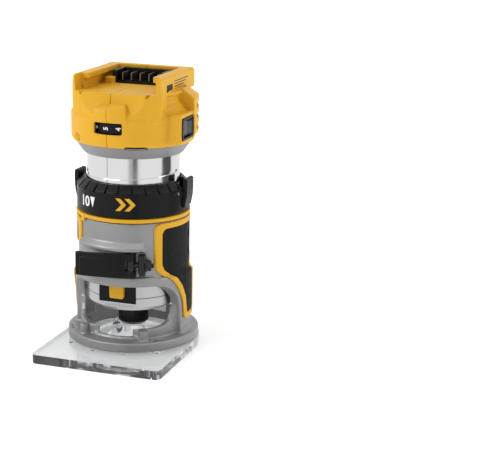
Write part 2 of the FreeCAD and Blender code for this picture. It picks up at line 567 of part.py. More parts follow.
def make_clamp_lever():
    """The arm is bowed about an axis of its own, so that its free end stands off the barrel."""
    arm = ring("lever_arm", "bow_r - lever_t", "bow_r", "lever_low", "lever_top", "bow_start", "bow_end")
    panel = ring("lever_panel", "bow_r - panel_t", "bow_r + panel_t", "panel_low", "panel_top",
                 "panel_start",
                 "panel_end")
    for bowed in (arm, panel):
        drive(bowed, "Placement.Base.x", "bow_x")
        drive(bowed, "Placement.Base.y", "bow_y")
    pivot = ("0", "-lever_pivot_r")
    knuckle = prism("lever_knuckle", XY, [disc(*pivot, "lever_knuckle_r")], "lever_low", "lever_top",
                    "lever_bearing")
    neck = prism("lever_neck", XY, [rect("-neck_long", "0", "-lever_out", "-lever_in - 0.1")], "lever_low",
                 "lever_top", "lever_bearing")
    pin_hole = prism("lever_pin_hole", XY, [disc(*pivot, "lever_pin_r")], "lever_low - over",
                     "lever_top + over", "lever_bearing")
    eye_room = prism("lever_eye_room", XY, [rect("-lever_relief_r", "neck_long", "-window_end", "-tube_r")],
                     "eye_low - eye_gap", "eye_top + eye_gap", "lever_bearing")
    solid = fuse("lever_solid", arm, panel, knuckle, neck)
    piece("clamp_lever", cut("lever_cut", solid, pin_hole, eye_room))
    piece("lever_pin", prism("lever_pin_rod", XY, [disc(*pivot, "lever_pin_r")], "lever_low", "lever_top",
                             "lever_bearing"))


# ---------------------------------------------------------------- depth ring and release tabs
def make_adjusting_ring():
    body = turn("ring_turned", [("ring_seat_r", "ring_low"), ("ring_r - 0.8", "ring_low"),
                                ("ring_r", "ring_low + 0.8"), ("ring_r", "ring_shoulder"),
                                ("ring_top_r", "ring_top"), ("ring_bore_r", "ring_top"),
                                ("ring_bore_r", "ring_top - 1.6"), ("ring_room_r", "ring_top - 1.6"),
                                ("ring_room_r", "ring_floor"), ("ring_seat_r", "ring_floor")])
    bevel = [("ring_r + 2", "ring_shoulder - 1.4"), ("ring_r + 2", "ring_top + 2"),
             ("ring_top_r - 0.5", "ring_top + 2"), ("ring_top_r - 0.5", "ring_top - notch_depth"),
             ("ring_r - notch_depth", "ring_shoulder - 1.4")]
    notch = body.newObject("PartDesign::Pocket", "grip_notch")
    notch.Profile = new_sketch(body, XZ, [bevel])
    notch.Midplane = True
    drive(notch, "Length", "2 * notch_half")
    ring_of(body, notch, "notch_count")
    ears, slots, pin_holes = [], [], []
    for side, sign in SIDES:
        x = sign + "pivot_x"
        bar = across(sign, "ear_in", "ear_out", "pivot_z - ear_r", "pivot_z + ear_r")
        slot = across(sign, "tube_r - over", "window_end", "ring_low + 3.4", "ring_top + 5")
        ears.append(prism("ring_ear_" + side, XZ, [bar], "-ear_half", "ear_half"))
        ears.append(prism("ring_ear_round_" + side, XZ, [disc(x, "pivot_z", "ear_r")], "-ear_half",
                          "ear_half"))
        slots.append(prism("tab_slot_" + side, XZ, [slot], "-tab_slot_half", "tab_slot_half"))
        pin_holes.append(prism("tab_pin_hole_" + side, XZ, [disc(x, "pivot_z", "pivot_pin_r")],
                               "-2 * ear_half",
                               "2 * ear_half"))
    wire_room = ring("ring_retainer_room", "ring_seat_r - 0.5", "retainer_room",
                     "retainer_z - retainer_half - 0.15", "retainer_z + retainer_half + 0.15")
    solid = fuse("ring_solid", body, *ears)
    piece("adjusting_ring", cut("ring_cut", solid, wire_room, *(slots + pin_holes)))


def make_tab(side, sign, shoe_z):
    """One squeeze tab: a rocker on a pin, with a thread shoe on its lower arm."""
    def at(x):
        return sign + "(" + x + ")"
    outline = [(at("shoe_tip"), shoe_z + " - shoe_half_tip"),
               (at("ring_room_r"), shoe_z + " - shoe_half_root"),
               (at("ring_room_r + 0.4"), "tab_low"), (at("tab_out - 2"), "tab_low"),
               (at("tab_out - 0.6"), "pivot_z - 4"), (at("tab_out"), "pivot_z + 4"),
               (at("tab_out"), "tab_top - 1.4"), (at("tab_out - 1.2"), "tab_top"),
               (at("tab_in + 1"), "tab_top"),
               (at("tab_in"), "tab_top - 1"), (at("tab_in"), "pivot_z + 3.4"),
               (at("pivot_x - 2.4"), "pivot_z + 1.6"), (at("ring_room_r + 0.4"), shoe_z + " + 2.2"),
               (at("ring_room_r"), shoe_z + " + shoe_half_root"),
               (at("shoe_tip"), shoe_z + " + shoe_half_tip")]
    body = prism("tab_body_" + side, XZ, [outline], "-tab_half", "tab_half")
    beside_shoe = across(sign, "tube_in", "ring_room_r - 0.2", "tab_low - 2", "pivot_z")
    ends = (("front", "shoe_half_width", "tab_half + over"),
            ("rear", "-tab_half - over", "-shoe_half_width"))
    narrow = [prism("tab_shoe_%s_%s" % (end, side), XZ, [beside_shoe], low, high) for end, low,
              high in ends]
    ribs = [prism("tab_rib_%s_%d" % (side, i), XZ,
                  [disc(at("tab_out + 0.1"), "tab_top - 2.6 - %d * tab_rib_pitch" % i, "tab_rib_r")],
                  "-tab_half - over", "tab_half + over") for i in range(count_of("tab_rib_count"))]
    pivot = (sign + "pivot_x", "pivot_z")
    pin_hole = prism("tab_bore_" + side, XZ, [disc(*pivot, "pivot_pin_r + pivot_gap")], "-ear_half",
                     "ear_half")
    coil_room = prism("tab_coil_room_" + side, XZ, [disc(*pivot, "tab_coil_room")], "tab_coil_low - 0.5",
                      "tab_coil_low + tab_coil_long + 0.5")
    piece("release_tab_" + side, cut("tab_cut_" + side, body, pin_hole, coil_room, *(narrow + ribs)))


def make_tab_fittings():
    pins, coils = [], []
    for side, sign in SIDES:
        pivot = (sign + "pivot_x", "pivot_z")
        pins.append(prism("tab_pin_" + side, XZ, [disc(*pivot, "pivot_pin_r")], "-ear_half - 0.6",
                          "ear_half + 0.6"))
        coils.append(coil_spring("tab_coil_" + side, "tab_coil_r", "tab_coil_pitch", "tab_coil_long",
                                 "tab_wire", 90,
                                 (pivot[0], "-tab_coil_low", pivot[1])))
    piece("tab_pins", group("tab_pin_pair", *pins))
    piece("tab_springs", group("tab_spring_pair", *coils))


# ---------------------------------------------------------------- motor housing
def front_flat(name):
    return prism(name, XZ, [rect("-flat_half - 4", "flat_half + 4", "flat_low", "flat_top")], "flat_y",
                 "flange_r")


def lock_opening(name):
    gap = "lock_gap"
    outline = rect("-lock_half - " + gap, "lock_half + " + gap, "lock_low - " + gap, "lock_top + " + gap)
    return prism(name, XZ, [outline], "flat_y - lock_t - 5 * " + gap, "flange_r")


def key_cuts(name, top):
    """The two ways in the motor that slide on the guide keys."""
    outline = rect("-keyway_half", "keyway_half", "-tube_r - over", "-tube_r + keyway_depth")
    return pair_at(name, "keyway_bearing", XY, [outline], "nose_z - over", top)


def make_motor_housing():
    body = ring("housing_tube", "tube_in", "tube_r", "nose_step", "tube_top")
    groove = body.newObject("PartDesign::SubtractiveHelix", "depth_thread")
    groove.Profile = new_sketch(body, XZ, [[("tube_r - groove_depth", "groove_start - groove_half_root"),
                                            ("tube_r + 0.6", "groove_start - groove_half"),
                                            ("tube_r + 0.6", "groove_start + groove_half"),
                                            ("tube_r - groove_depth", "groove_start + groove_half_root")]])
    groove.ReferenceAxis = (groove.Profile[0], ["V_Axis"])
    groove.Mode = "pitch-turns-angle"
    drive(groove, "Pitch", "lead_turn")
    drive(groove, "Turns", "groove_turns")
    seam = prism("housing_seam", XY, [rect("-seam_half", "seam_half", "-tube_r - over",
                                           "-tube_r + seam_depth")],
                 "flat_top", "bowl_low + over", "seam_bearing")
    tools = [lock_opening("housing_lock"), seam] + key_cuts("keyway", "tube_top - 10")
    piece("motor_housing", cut("housing_cut", body, front_flat("housing_flat"), *tools))


def make_nose():
    body = turn("nose_turned", [("bearing_r", "bearing_low"), ("spindle_nose_r + 0.8", "bearing_low"),
                                ("spindle_nose_r + 0.8", "nose_recess_z"),
                                ("nose_recess_r", "nose_recess_z"),
                                ("nose_recess_r", "nose_z"), ("nose_foot_r", "nose_z"),
                                ("nose_r", "nose_foot_z"),
                                ("nose_r", "nose_step"), ("tube_in - 0.02", "nose_step"),
                                ("tube_in - 0.02", "nose_wall_top + 4"),
                                ("tube_in - 2", "nose_wall_top + 4"),
                                ("tube_in - 2", "nose_step - 3"), ("bearing_r + 3", "nose_step - 3"),
                                ("bearing_r + 3", "bearing_high"), ("bearing_r", "bearing_high")])
    rooms = pair_at("lamp_room", "-lamp_bearing", XY, [disc("0", "-lamp_pcr", "lamp_r + 0.02")], "nose_z",
                    "nose_step + over")
    tools = [lock_opening("nose_lock")] + rooms + key_cuts("nose_keyway", "nose_step + over")
    piece("nose_casting", cut("nose_cut", body, front_flat("nose_flat"), *tools))
    lamps = pair_at("lamp", "-lamp_bearing", XY, [disc("0", "-lamp_pcr", "lamp_r")], "lamp_low", "lamp_top")
    piece("work_lights", group("work_light_pair", *lamps))
    piece("lower_bearing", ring("lower_bearing_ring", "shaft_r + 2", "bearing_r", "bearing_low",
                                "bearing_high - 0.6"))
    piece("upper_bearing", ring("upper_bearing_ring", "shaft_r", "top_bearing_r", "top_bearing_low",
                                "top_bearing_high"))


def make_lock():
    plate = prism("lock_plate", XZ, [rect("-lock_half", "lock_half", "lock_low", "lock_top")],
                  "flat_y - lock_t",
                  "flat_y")
    soften(plate, "Fillet", "lock_round", level_y)
    centre = ("0", "lock_z")
    tube = prism("lock_guide", XZ, [disc(*centre, "lock_tube_r")], "lock_tube_end", "flat_y - lock_t + 0.5")
    room_half, back = "button_half + button_gap", "button_back - button_travel"
    button_room = prism("lock_button_room", XZ, [rect("-button_half - button_gap", room_half,
                                                      "button_low - button_gap",
                                                      "button_top + button_gap")],
                        back + " - 0.4", "flat_y + over")
    bore = prism("lock_bore", XZ, [disc(*centre, "plunger_room")], "lock_tube_end - over", "flat_y")
    spring_room = prism("lock_spring_room", XZ, [disc(*centre, "lock_spring_r + 0.6")],
                        "lock_spring_start - 0.4",
                        "flat_y")
    backing = prism("lock_backing", XZ, [rect("-button_half - 1.8", "button_half + 1.8", "button_low - 1.8",
                                              "button_top + 1.2")], back + " - 2", "flat_y - 0.2")
    solid = fuse("lock_housing_solid", plate, tube, backing)
    piece("lock_housing", cut("lock_housing_cut", solid, button_room, bore, spring_room))
    cap = prism("button_cap", XZ, [rect("-button_half", "button_half", "button_low", "button_top")],
                "button_back",
                "button_face")
    soften(cap, "Fillet", "button_round", level_y)
    front = number("-button_face")
    soften(cap, "Fillet", "button_edge",
           lambda e: abs(e.BoundBox.YMin - front) < NEAR and abs(e.BoundBox.YMax - front) < NEAR)
    plunger = prism("button_plunger", XZ, [disc(*centre, "plunger_r")], "plunger_tip", "button_back + 0.5")
    piece("lock_button", fuse("lock_button_solid", cap, plunger))
    piece("lock_spring", coil_spring("lock_coil", "lock_spring_r", "spring_pitch",
                                     "lock_spring_end - lock_spring_start - button_travel", "spring_wire",
                                     90,
                                     ("0", "-lock_spring_start", "lock_z")))


# ---------------------------------------------------------------- turning parts and windings
def make_shaft_and_collet():
    nose = [("0", "collet_top + 0.6"), ("spindle_nose_r - 2", "collet_top + 0.6"),
            ("spindle_nose_r - 1.6", "spindle_nose_low"), ("spindle_nose_r", "spindle_nose_low"),
            ("spindle_nose_r", "spindle_nose_top"), ("shaft_r + 2", "spindle_nose_top")]
    rod = [("shaft_r + 2", "lock_wheel_top + over"), ("shaft_r", "lock_wheel_top + over"),
           ("shaft_r", "shaft_top"), ("0", "shaft_top")]
    piece("spindle_shaft", turn("shaft_turned", nose + rod))
    collet = turn("collet_turned", [("collet_r", "collet_low"), ("collet_out + 0.4", "collet_low"),
                                    ("collet_out - 0.2", "collet_top"), ("collet_r", "collet_top")])
    slit = rect("-collet_slit_half", "collet_slit_half", "-spindle_nose_r", "-collet_r / 2")
    slits = polar_prisms("collet_slit", 4, "45", "90", XY, [slit], "collet_low + 2", "collet_top + over")
    piece("collet", cut("collet_cut", collet, *slits))
    nut = turn("collet_nut_turned", [("collet_r + 1.6", "nut_low"), ("collet_nut_r - 2", "nut_low"),
                                     ("collet_nut_r", "nut_low + 2.2"), ("collet_nut_r", "collet_nut_top"),
                                     ("nut_bore_r", "collet_nut_top"),
                                     ("nut_bore_r", "spindle_nose_low - 0.4"),
                                     ("collet_out + 0.6", "collet_low - 0.2"),
                                     ("collet_r + 1.6", "collet_low - 0.2")])
    flat = rect("-nut_flat_half", "nut_flat_half", "-collet_nut_r - over", "-collet_nut_r + flat_depth")
    flats = polar_prisms("nut_flat", 2, "0", "180", XY, [flat], "collet_nut_top - flat_tall",
                         "collet_nut_top + over")
    piece("collet_nut", cut("collet_nut_cut", nut, *flats))


def make_spindle_rings():
    """What sits on the shaft: the lock wheel, the fan, the rotor and its magnets."""
    wheel = ring("lock_wheel_disc", "shaft_r + 2", "lock_wheel_r", "lock_wheel_low", "lock_wheel_top")
    notch = rect("-lock_notch_half", "lock_notch_half", "-lock_wheel_r - over", "-lock_notch_floor")
    notches = polar_prisms("lock_notch", count_of("lock_notches"), "0", "360 / lock_notches", XY, [notch],
                           "lock_wheel_low - over", "lock_wheel_top + over")
    piece("lock_wheel", cut("lock_wheel_cut", wheel, *notches))
    hub = ring("fan_hub", "shaft_r", "fan_hub_r", "fan_low", "fan_top")
    web = ring("fan_web_disc", "fan_hub_r - over", "fan_r", "fan_low", "fan_web")
    blade = [("-0.8", "-fan_r + 0.4"), ("0.8", "-fan_r + 0.4"), ("5.2", "-fan_hub_r - 2"),
             ("3.8", "-fan_hub_r - 2")]
    blades = polar_prisms("fan_blade", count_of("fan_blades"), "0", "360 / fan_blades", XY, [blade],
                          "fan_web - 0.4",
                          "fan_top")
    piece("cooling_fan", fuse("fan_solid", hub, web, *blades))
    piece("rotor_core", ring("rotor_core_ring", "shaft_r", "rotor_r", "rotor_low", "rotor_top"))
    magnets = [ring("magnet_%d" % i, "rotor_r", "magnet_r", "rotor_low + over", "rotor_top - over",
                    "%d * 360 / magnets - magnet_half" % i, "%d * 360 / magnets + magnet_half" % i)
               for i in range(count_of("magnets"))]
    piece("rotor_magnets", group("magnet_set", *magnets))


def make_stator():
    yoke = ring("stator_yoke", "coil_out + 0.2", "tube_in", "stator_low", "stator_top")
    shoe = ring("stator_shoe", "stator_r", "stator_r + 1.8", "stator_low", "stator_top")
    tooth = rect("-tooth_half", "tooth_half", "-coil_out - over", "-stator_r - over")
    teeth = polar_prisms("stator_tooth", count_of("poles"), "0", "360 / poles", XY, [tooth], "stator_low",
                         "stator_top")
    piece("stator_core", fuse("stator_solid", yoke, shoe, *teeth))
    coils = [ring("coil_%d" % i, "coil_in", "coil_out", "stator_low - coil_t", "stator_top + coil_t",
                  "%d * 360 / poles + coil_start" % i, "%d * 360 / poles + coil_end" % i)
             for i in range(count_of("poles"))]
    piece("stator_windings", group("coil_set", *coils))


def make_bearing_plate():
    plate = ring("end_plate_disc", "top_bearing_r + 0.02", "tube_in - 0.02", "end_plate_low",
                 "end_plate_low + end_plate_t")
    boss = ring("end_plate_boss", "top_bearing_r + 0.02", "top_bearing_r + 2.4", "end_plate_low",
                "top_bearing_high")
    vent = rect("-end_vent_half", "end_vent_half", "-end_vent_out", "-end_vent_in")
    vents = polar_prisms("end_plate_vent", count_of("poles"), "180 / poles", "360 / poles", XY, [vent],
                         "end_plate_low - over", "end_plate_low + end_plate_t + over")
    piece("bearing_plate", cut("bearing_plate_cut", fuse("bearing_plate_solid", plate, boss), *vents))


# ---------------------------------------------------------------- bowl, cap and controls
# Bearings between which the bowl's rim and the cap's lower edge are notched.
BOWL_SLOTS = (("14", "36"), ("-76", "-60"), ("104", "126"), ("-166", "-144"))


def make_bowl():
    body = turn("bowl_turned", [("tube_r + 0.02", "bowl_low"), ("bowl_lip_r", "bowl_low"),
                                ("bowl_r", "bowl_top"),
                                ("bowl_r - bowl_wall", "bowl_top"), ("bowl_lip_r - 0.6", "tube_top + 1.4"),
                                ("tube_in", "tube_top + 1.4"), ("tube_in", "tube_top"),
                                ("tube_r + 0.02", "tube_top")])
    lip_z, lip_width = number("bowl_low"), number("2 * bowl_lip_r - 0.1")
    soften(body, "Fillet", "bowl_round",
           lambda e: abs(e.BoundBox.ZMax - lip_z) < NEAR and e.BoundBox.XLength > lip_width)
    slots = [ring("bowl_slot_%d" % i, "bowl_r - 1.4", "bowl_r + over", "bowl_top - 0.9",
                  "bowl_top + over", a, b)
             for i, (a, b) in enumerate(BOWL_SLOTS)]
    piece("bearing_bowl", cut("bowl_cut", body, *slots))


INNER_R = "cap_r - cap_wall"
CAP_OUTSIDE = [("0", "cap_low"), ("cap_low_r", "cap_low"), ("cap_r", "cap_swell_z"), ("cap_r", "band_top"),
               ("ledge_r", "ledge_top"), ("crown_r + 3.2", "ledge_top + 2.4"),
               ("crown_r + 1.2", "ledge_top + 6"),
               ("crown_r + 0.2", "ledge_top + 10"), ("crown_r", "dock_floor"), ("0", "dock_floor")]
CAP_INSIDE = [("0", "cap_low - over"), ("cap_low_r - cap_wall", "cap_low - over"), (INNER_R, "cap_swell_z"),
              (INNER_R, "band_top - 3"), ("crown_r - cap_wall", "ledge_top + 3"),
              ("crown_r - cap_wall - 0.8", "dock_floor - cap_floor_t"), ("0", "dock_floor - cap_floor_t")]
# A front pillar from the front; then the apron under the dock's mouth, from the side.
PILLAR = [("rail_out - 2.6", "rail_top"), ("rail_out - 0.8", "rail_top - 0.8"),
          ("rail_out", "rail_top - 2.6"),
          ("rail_out + 0.6", "198"), ("rail_out + 0.6", "186"), ("rail_out - 1", "176"), ("14", "176"),
          ("15", "180"), ("17.6", "184"), ("21.2", "188"), ("24.6", "192"), ("27.4", "196"),
          ("29.2", "200"),
          ("30.2", "204"), ("30.8", "rail_top")]
# The same pillar from above: its front face runs round from the side to the apron.
PILLAR_PLAN = [("36", "-pillar_back"), ("36", "-29.4"), ("34.8", "-31.6"), ("31.6", "-34.6"),
               ("27", "-37.2"),
               ("21", "-39.2"), ("12", "-40.4"), ("12", "-pillar_back")]
APRON = [("-apron_front", "dock_floor"), ("-apron_front", "194"), ("-apron_front - 0.3", "191"),
         ("-apron_front - 1", "188"), ("-apron_front - 2.2", "185"), ("-apron_front - 4", "182.4"),
         ("-apron_front - 6.4", "180"), ("-apron_front - 9", "178"), ("-28", "178"), ("-28", "dock_floor")]
# The hollow below each rail, and the wall that stays behind it, turned about the axis: (radius, height).
POCKET = [("52", "182.4"), ("45.4", "182.4"), ("41", "184"), ("37.6", "187.6"), ("36.4", "191"),
          ("36.2", "rail_low"), ("52", "rail_low")]
POCKET_WALL = [("52", "179.6"), ("44.4", "179.6"), ("39.6", "181.4"), ("35.4", "185.8"), ("33.8", "190.4"),
               ("33.8", "198"), ("52", "198")]


def mirrored(loop, sign):
    return [(sign + "(" + x + ")", z) for x, z in loop]


def rail(name, sign):
    """One battery rail with its front pillar: the dock's side wall, undercut for the pack's tongue."""
    profile = [("rail_out", "rail_low"), ("rail_out", "rail_top - 1.2"), ("rail_out - 1.2", "rail_top"),
               ("rail_in", "rail_top"), ("rail_in", "rail_lip_low"), ("rail_under", "rail_lip_low"),
               ("rail_under", "dock_floor"), ("rail_in", "dock_floor"), ("rail_in", "rail_low")]
    bar = prism(name + "_bar", XZ, [mirrored(profile, sign)], "-rail_back", "rail_front")
    mouth = mirrored(rect("rail_in - 2", "rail_wall", "dock_floor", "rail_top + over"), sign)
    recess = prism(name + "_recess", XZ, [mouth], "lip_front", "rail_front + 8")
    front = prism(name + "_pillar_front", XZ, [mirrored(PILLAR, sign)], "pillar_back", "pillar_reach")
    plan = prism(name + "_pillar_plan", XY, [mirrored(PILLAR_PLAN, sign)], "pillar_low", "rail_top + over")
    post = common(name + "_pillar", front, plan)
    return fuse(name, cut(name + "_hollowed", bar, recess), cut(name + "_pillar_hollowed", post, recess))


# The cap screws' places from the side: (distance behind the axis, height).
CAP_SCREWS = (("-26", "186"), ("24", "186"), ("-34.4", "162.4"), ("28", "162.4"))


def screw_spots(name, radius, low, high):
    """A round prism along X at each cap screw."""
    return [prism("%s_%d" % (name, i), YZ, [disc(y, z, radius)], low, high) for i,
            (y, z) in enumerate(CAP_SCREWS)]


def both_sides(name, points, start, end):
    """The same turned shape between two bearings on the right and between their mirror images on the left."""
    return [turn(name + "_right", points, start, end),
            turn(name + "_left", points, "-(%s)" % end, "-(%s)" % start)]


def cap_outside():
    """A turned body with its pockets, rails, apron, brows, switch pod and air ducts."""
    body = turn("cap_outside", CAP_OUTSIDE)
    pockets = both_sides("side_pocket", POCKET, "pocket_start", "pocket_end")
    back = prism("dock_back_wall", XY, [rect("-rail_out", "rail_out", "dock_back", "rail_back")],
                 "rail_low",
                 "rail_top")
    soften(back, "Fillet", "rail_round",
           lambda e: upright(e) and e.Vertexes[0].Y > number("rail_back - 0.1"))
    rails = [rail("rail_" + side, sign) for side, sign in SIDES]
    apron = common("dock_apron", prism("apron_side", YZ, [APRON], "-apron_half", "apron_half"),
                   turn("apron_reach", rect("0", "cap_r - 0.6", "pillar_low", "dock_floor + over")))
    brows = [turn("cap_brow_left", [("36", "brow_low"), ("brow_r", "brow_low"), ("brow_r", "brow_low + 5"),
                                    ("brow_r - 1.4", "brow_low + 8"), ("40", "brow_top - 0.6")],
                  "brow_start", "brow_split"),
             turn("cap_brow_right", [("36", "brow_low"), ("brow_r + 0.4", "brow_low"),
                                     ("brow_r + 0.4", "brow_low + 6.4"), ("brow_r - 1", "brow_low + 9.4"),
                                     ("40", "brow_top + 0.6")], "brow_split", "brow_end")]
    guides = [prism("dock_guide_" + side, XY, [across(sign, "guide_near", "rail_in - 0.5", "guide_low",
                                                      "guide_high")],
                    "dock_floor - over", "guide_top") for side, sign in SIDES]
    pod = prism("switch_pod", YZ, [rect("-pod_front", "pod_back", "pod_low", "pod_top")], "pod_inner",
                "pod_x")
    soften(pod, "Fillet", "pod_round", lambda e: e.BoundBox.XLength > 5)
    ducts = both_sides("duct", [("crown_r", "duct_low"), ("duct_r - 1.5", "duct_low"),
                                ("duct_r", "duct_low + 2"),
                                ("duct_r", "duct_shoulder"), ("crown_r", "duct_top")], "duct_start",
                                "duct_end")
    carved = cut("cap_carved", body, *pockets)
    return fuse("cap_solid", carved, back, pod, apron, *(rails + ducts + brows + guides))


def cap_cavity():
    walls = both_sides("side_pocket_wall", POCKET_WALL, "pocket_start - pocket_wall",
                       "pocket_end + pocket_wall")
    return cut("cap_hollow", turn("cap_inside", CAP_INSIDE), *walls)


def cap_openings():
    """The dial's window, the switch's room, the terminals' well, the vents and the screw heads' wells."""
    inner = "bezel_front - 2"
    tools = [
        prism("dial_window", XZ, [rect("-window_w - window_shift", "window_w - window_shift", "dial_low",
                                       "dial_top")],
              "window_back", "case_half"),
        prism("bezel_room", YZ, [rect("-bezel_front", "-bezel_back", "bezel_low", "bezel_top")],
              "pod_x - bezel_depth", "case_half"),
        prism("switch_wiring", YZ, [rect("-(%s)" % inner, "-bezel_back - 2", "bezel_low + 2",
                                         "bezel_top - 2")],
              "pod_inner - over", "case_half"),
        prism("terminal_room", XY, [rect("-well_half", "well_half", "well_front", "well_back")],
              "dock_floor - 5",
              "dock_floor + over"),
    ]
    for i in range(count_of("vent_count")):
        low = "vent_low + %d * vent_pitch" % i
        opening = rect("crown_r + 2", "duct_r + 4", low, low + " + vent_t")
        tools += both_sides("vent_%d" % i, opening, "vent_start", "vent_end")
    tools += [ring("cap_notch_%d" % i, "bowl_r - notch_in", "cap_r + over", "cap_low - over",
                   "cap_low + notch_tall",
                   start, end) for i, (start, end) in enumerate(BOWL_SLOTS)]
    tools += screw_spots("cap_screw_sink", "cap_screw_head_r + 0.2", "-case_half", "cap_screw_face + 0.4")
    return tools


def make_cap():
    shell = cut("cap_shell", cap_outside(), cap_cavity())
    whole = cut("cap_whole", shell, *cap_openings())
    posts = fuse("cap_posts", *screw_spots("cap_post", "cap_post_r", "-case_half", "case_half"))
    posts_inside = common("cap_posts_inside", posts, turn("cap_posts_reach", CAP_OUTSIDE))
    tools = [prism("dial_room", XY, [disc("0", "-dial_y", "dial_r + dial_gap")], "dial_low - 0.6",
                   "dial_top + 0.6")]
    tools += screw_spots("cap_screw_bore", "cap_screw_r", "-30", "cap_screw_end + over")
    tools += screw_spots("cap_screw_mouth", "cap_screw_head_r + 0.2", "-case_half", "cap_screw_seat")
    finished = cut("cap_finished", fuse("cap_with_posts", whole, posts_inside), *tools)
    halves = {"cap_right": ("parting_x + parting", "80"), "cap_left": ("-80", "parting_x - parting")}
    for label, (near, far) in halves.items():
        space = prism(label + "_space", YZ, [rect("-90", "90", "100", "260")], near, far)
        piece(label, common(label + "_half", finished, space))


def make_cap_screws():
    shanks = screw_spots("cap_shank", "cap_screw_r", "cap_screw_seat - 0.5", "cap_screw_end")
    heads = screw_spots("cap_head", "cap_screw_head_r", "cap_screw_face", "cap_screw_seat")
    screws = [fuse("cap_screw_%d" % i, shank, head) for i, (shank, head) in enumerate(zip(shanks, heads))]
    piece("cap_screws", group("cap_screw_set", *screws))


def make_terminals():
    block = prism("terminal_body", XY, [rect("-block_half", "block_half", "-block_front", "dock_back")],
                  "dock_floor",
                  "block_top")
    soften(block, "Chamfer", "block_edge", level_at("block_top"))
    inner = "block_half - block_wall"
    cavity = prism("terminal_cavity", XY, [rect("-(%s)" % inner, inner, "-block_front - over",
                                                "blade_back")],
                   "blade_low - over", "block_top + over")
    piece("terminal_block", cut("terminal_cut", block, cavity))
    blades = []
    for i in range(count_of("blade_count")):
        middle = "(%d - (blade_count - 1) / 2) * blade_gap" % i
        outline = rect(middle + " - blade_t / 2", middle + " + blade_t / 2", "-blade_tip", "blade_back")
        blades.append(prism("blade_%d" % i, XY, [outline], "blade_low", "blade_top"))
    piece("terminal_blades", group("blade_set", *blades))


def make_dial():
    low, high = "dial_low + dial_gap", "dial_top - dial_gap"
    dial = turn("dial_turned", [("dial_axle_r + 0.06", low), ("dial_r - dial_edge", low),
                                ("dial_r", low + " + dial_edge"), ("dial_r", high + " - dial_edge"),
                                ("dial_r - dial_edge", high), ("dial_axle_r + 0.06", high)])
    drive(dial, "Placement.Base.y", "-dial_y")
    piece("speed_dial", dial)
    rod = prism("dial_axle_rod", XY, [disc("0", "-dial_y", "dial_axle_r")], "cap_low + 3", "dial_top + 1.5")
    foot = prism("dial_axle_foot", XY, [disc("0", "-dial_y", "dial_axle_r + 2.4")], "cap_low + 3",
                 "dial_low - 0.8")
    piece("dial_axle", fuse("dial_axle_solid", rod, foot))


def make_switch():
    low, high = "rocker_z - rocker_tall", "rocker_z + rocker_tall"
    back = "pod_x - bezel_depth"
    frame = prism("bezel_frame", YZ, [rect("-bezel_front + 0.05", "-bezel_back - 0.05", "bezel_low + 0.05",
                                           "bezel_top - 0.05")], back, "pod_x + 0.5")
    mouth = prism("bezel_mouth", YZ, [rect("-rocker_y - rocker_half - rocker_gap",
                                           "-rocker_y + rocker_half + rocker_gap", low + " - rocker_gap",
                                           high + " + rocker_gap")], back + " + over", "pod_x + 3")
    spans = (("bezel_low + over", low + " + 1.2"), (high + " - 1.2", "bezel_top - over"))
    pins = [prism("bezel_pin_%d" % i, XY, [disc("rocker_axis_x", "-rocker_y", "rocker_pin_r")], start, end)
            for i, (start, end) in enumerate(spans)]
    piece("switch_bezel", fuse("bezel_with_pins", cut("bezel_cut", frame, mouth), *pins))
    deep = "rocker_axis_x - rocker_deep"
    front, rear = "-rocker_y - rocker_half", "-rocker_y + rocker_half"
    outline = [(deep, front), (deep, rear), ("pod_x + 0.9", rear), ("pod_x - rocker_dish", "-rocker_y + 1"),
               ("pod_x - rocker_dish", "-rocker_y - 1"), ("pod_x - 0.1", front)]
    body = prism("rocker_body", XY, [outline], low, high)
    socket = prism("rocker_socket", XY, [disc("rocker_axis_x", "-rocker_y", "rocker_pin_r + 0.06")],
                   low + " - over", high + " + over")
    piece("power_rocker", cut("rocker_cut", body, socket))


def make_board():
    board = ring("board_disc", "board_bore", "board_r", "board_low", "board_low + board_t")
    chip = rect("-chip_half", "chip_half", "-chip_out", "-chip_in")
    chips = polar_prisms("board_part", count_of("chips"), "20", "360 / chips", XY, [chip],
                         "board_low + board_t - 0.1", "chip_top")
    piece("control_board", fuse("board_solid", board, *chips))


make_sub_base()
make_sub_base_screws()
make_base_casting()
make_guide_keys()
make_collar()
make_grips()
make_clamp()
make_clamp_lever()
make_adjusting_ring()
make_tab("right", "", "shoe_right_z")
make_tab("left", "-", "shoe_right_z - lead_turn / 2")
make_tab_fittings()
make_motor_housing()
make_nose()
make_lock()
make_shaft_and_collet()
make_spindle_rings()
make_stator()
make_bearing_plate()
make_bowl()
make_cap()
make_cap_screws()
make_terminals()
make_dial()
make_switch()
make_board()

doc.recompute()
faults = [item.Name for item in doc.Objects if "Invalid" in item.State or "Error" in item.State]
if faults:
    raise RuntimeError("failed objects: " + ", ".join(faults))
for item in made:
    if item.Shape.isNull() or not item.Shape.isValid():
        raise RuntimeError("bad shape: " + item.Label)

os.makedirs("parts", exist_ok=True)
for item in made:
    item.Shape.exportStep("parts/%s.step" % item.Label)
    print(item.Label, len(item.Shape.Solids), round(item.Shape.Volume, 1))
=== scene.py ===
"""Looks of a cordless trim router in its fixed base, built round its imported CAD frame.

Metres, +Z up, origin on the spindle axis under the sub-base. The front faces -Y and the switch side +X.
A bearing is an angle about +Z counted from the front, positive towards +X.
"""
import json
import math

import bmesh
import bpy
from mathutils import Matrix, Quaternion, Vector


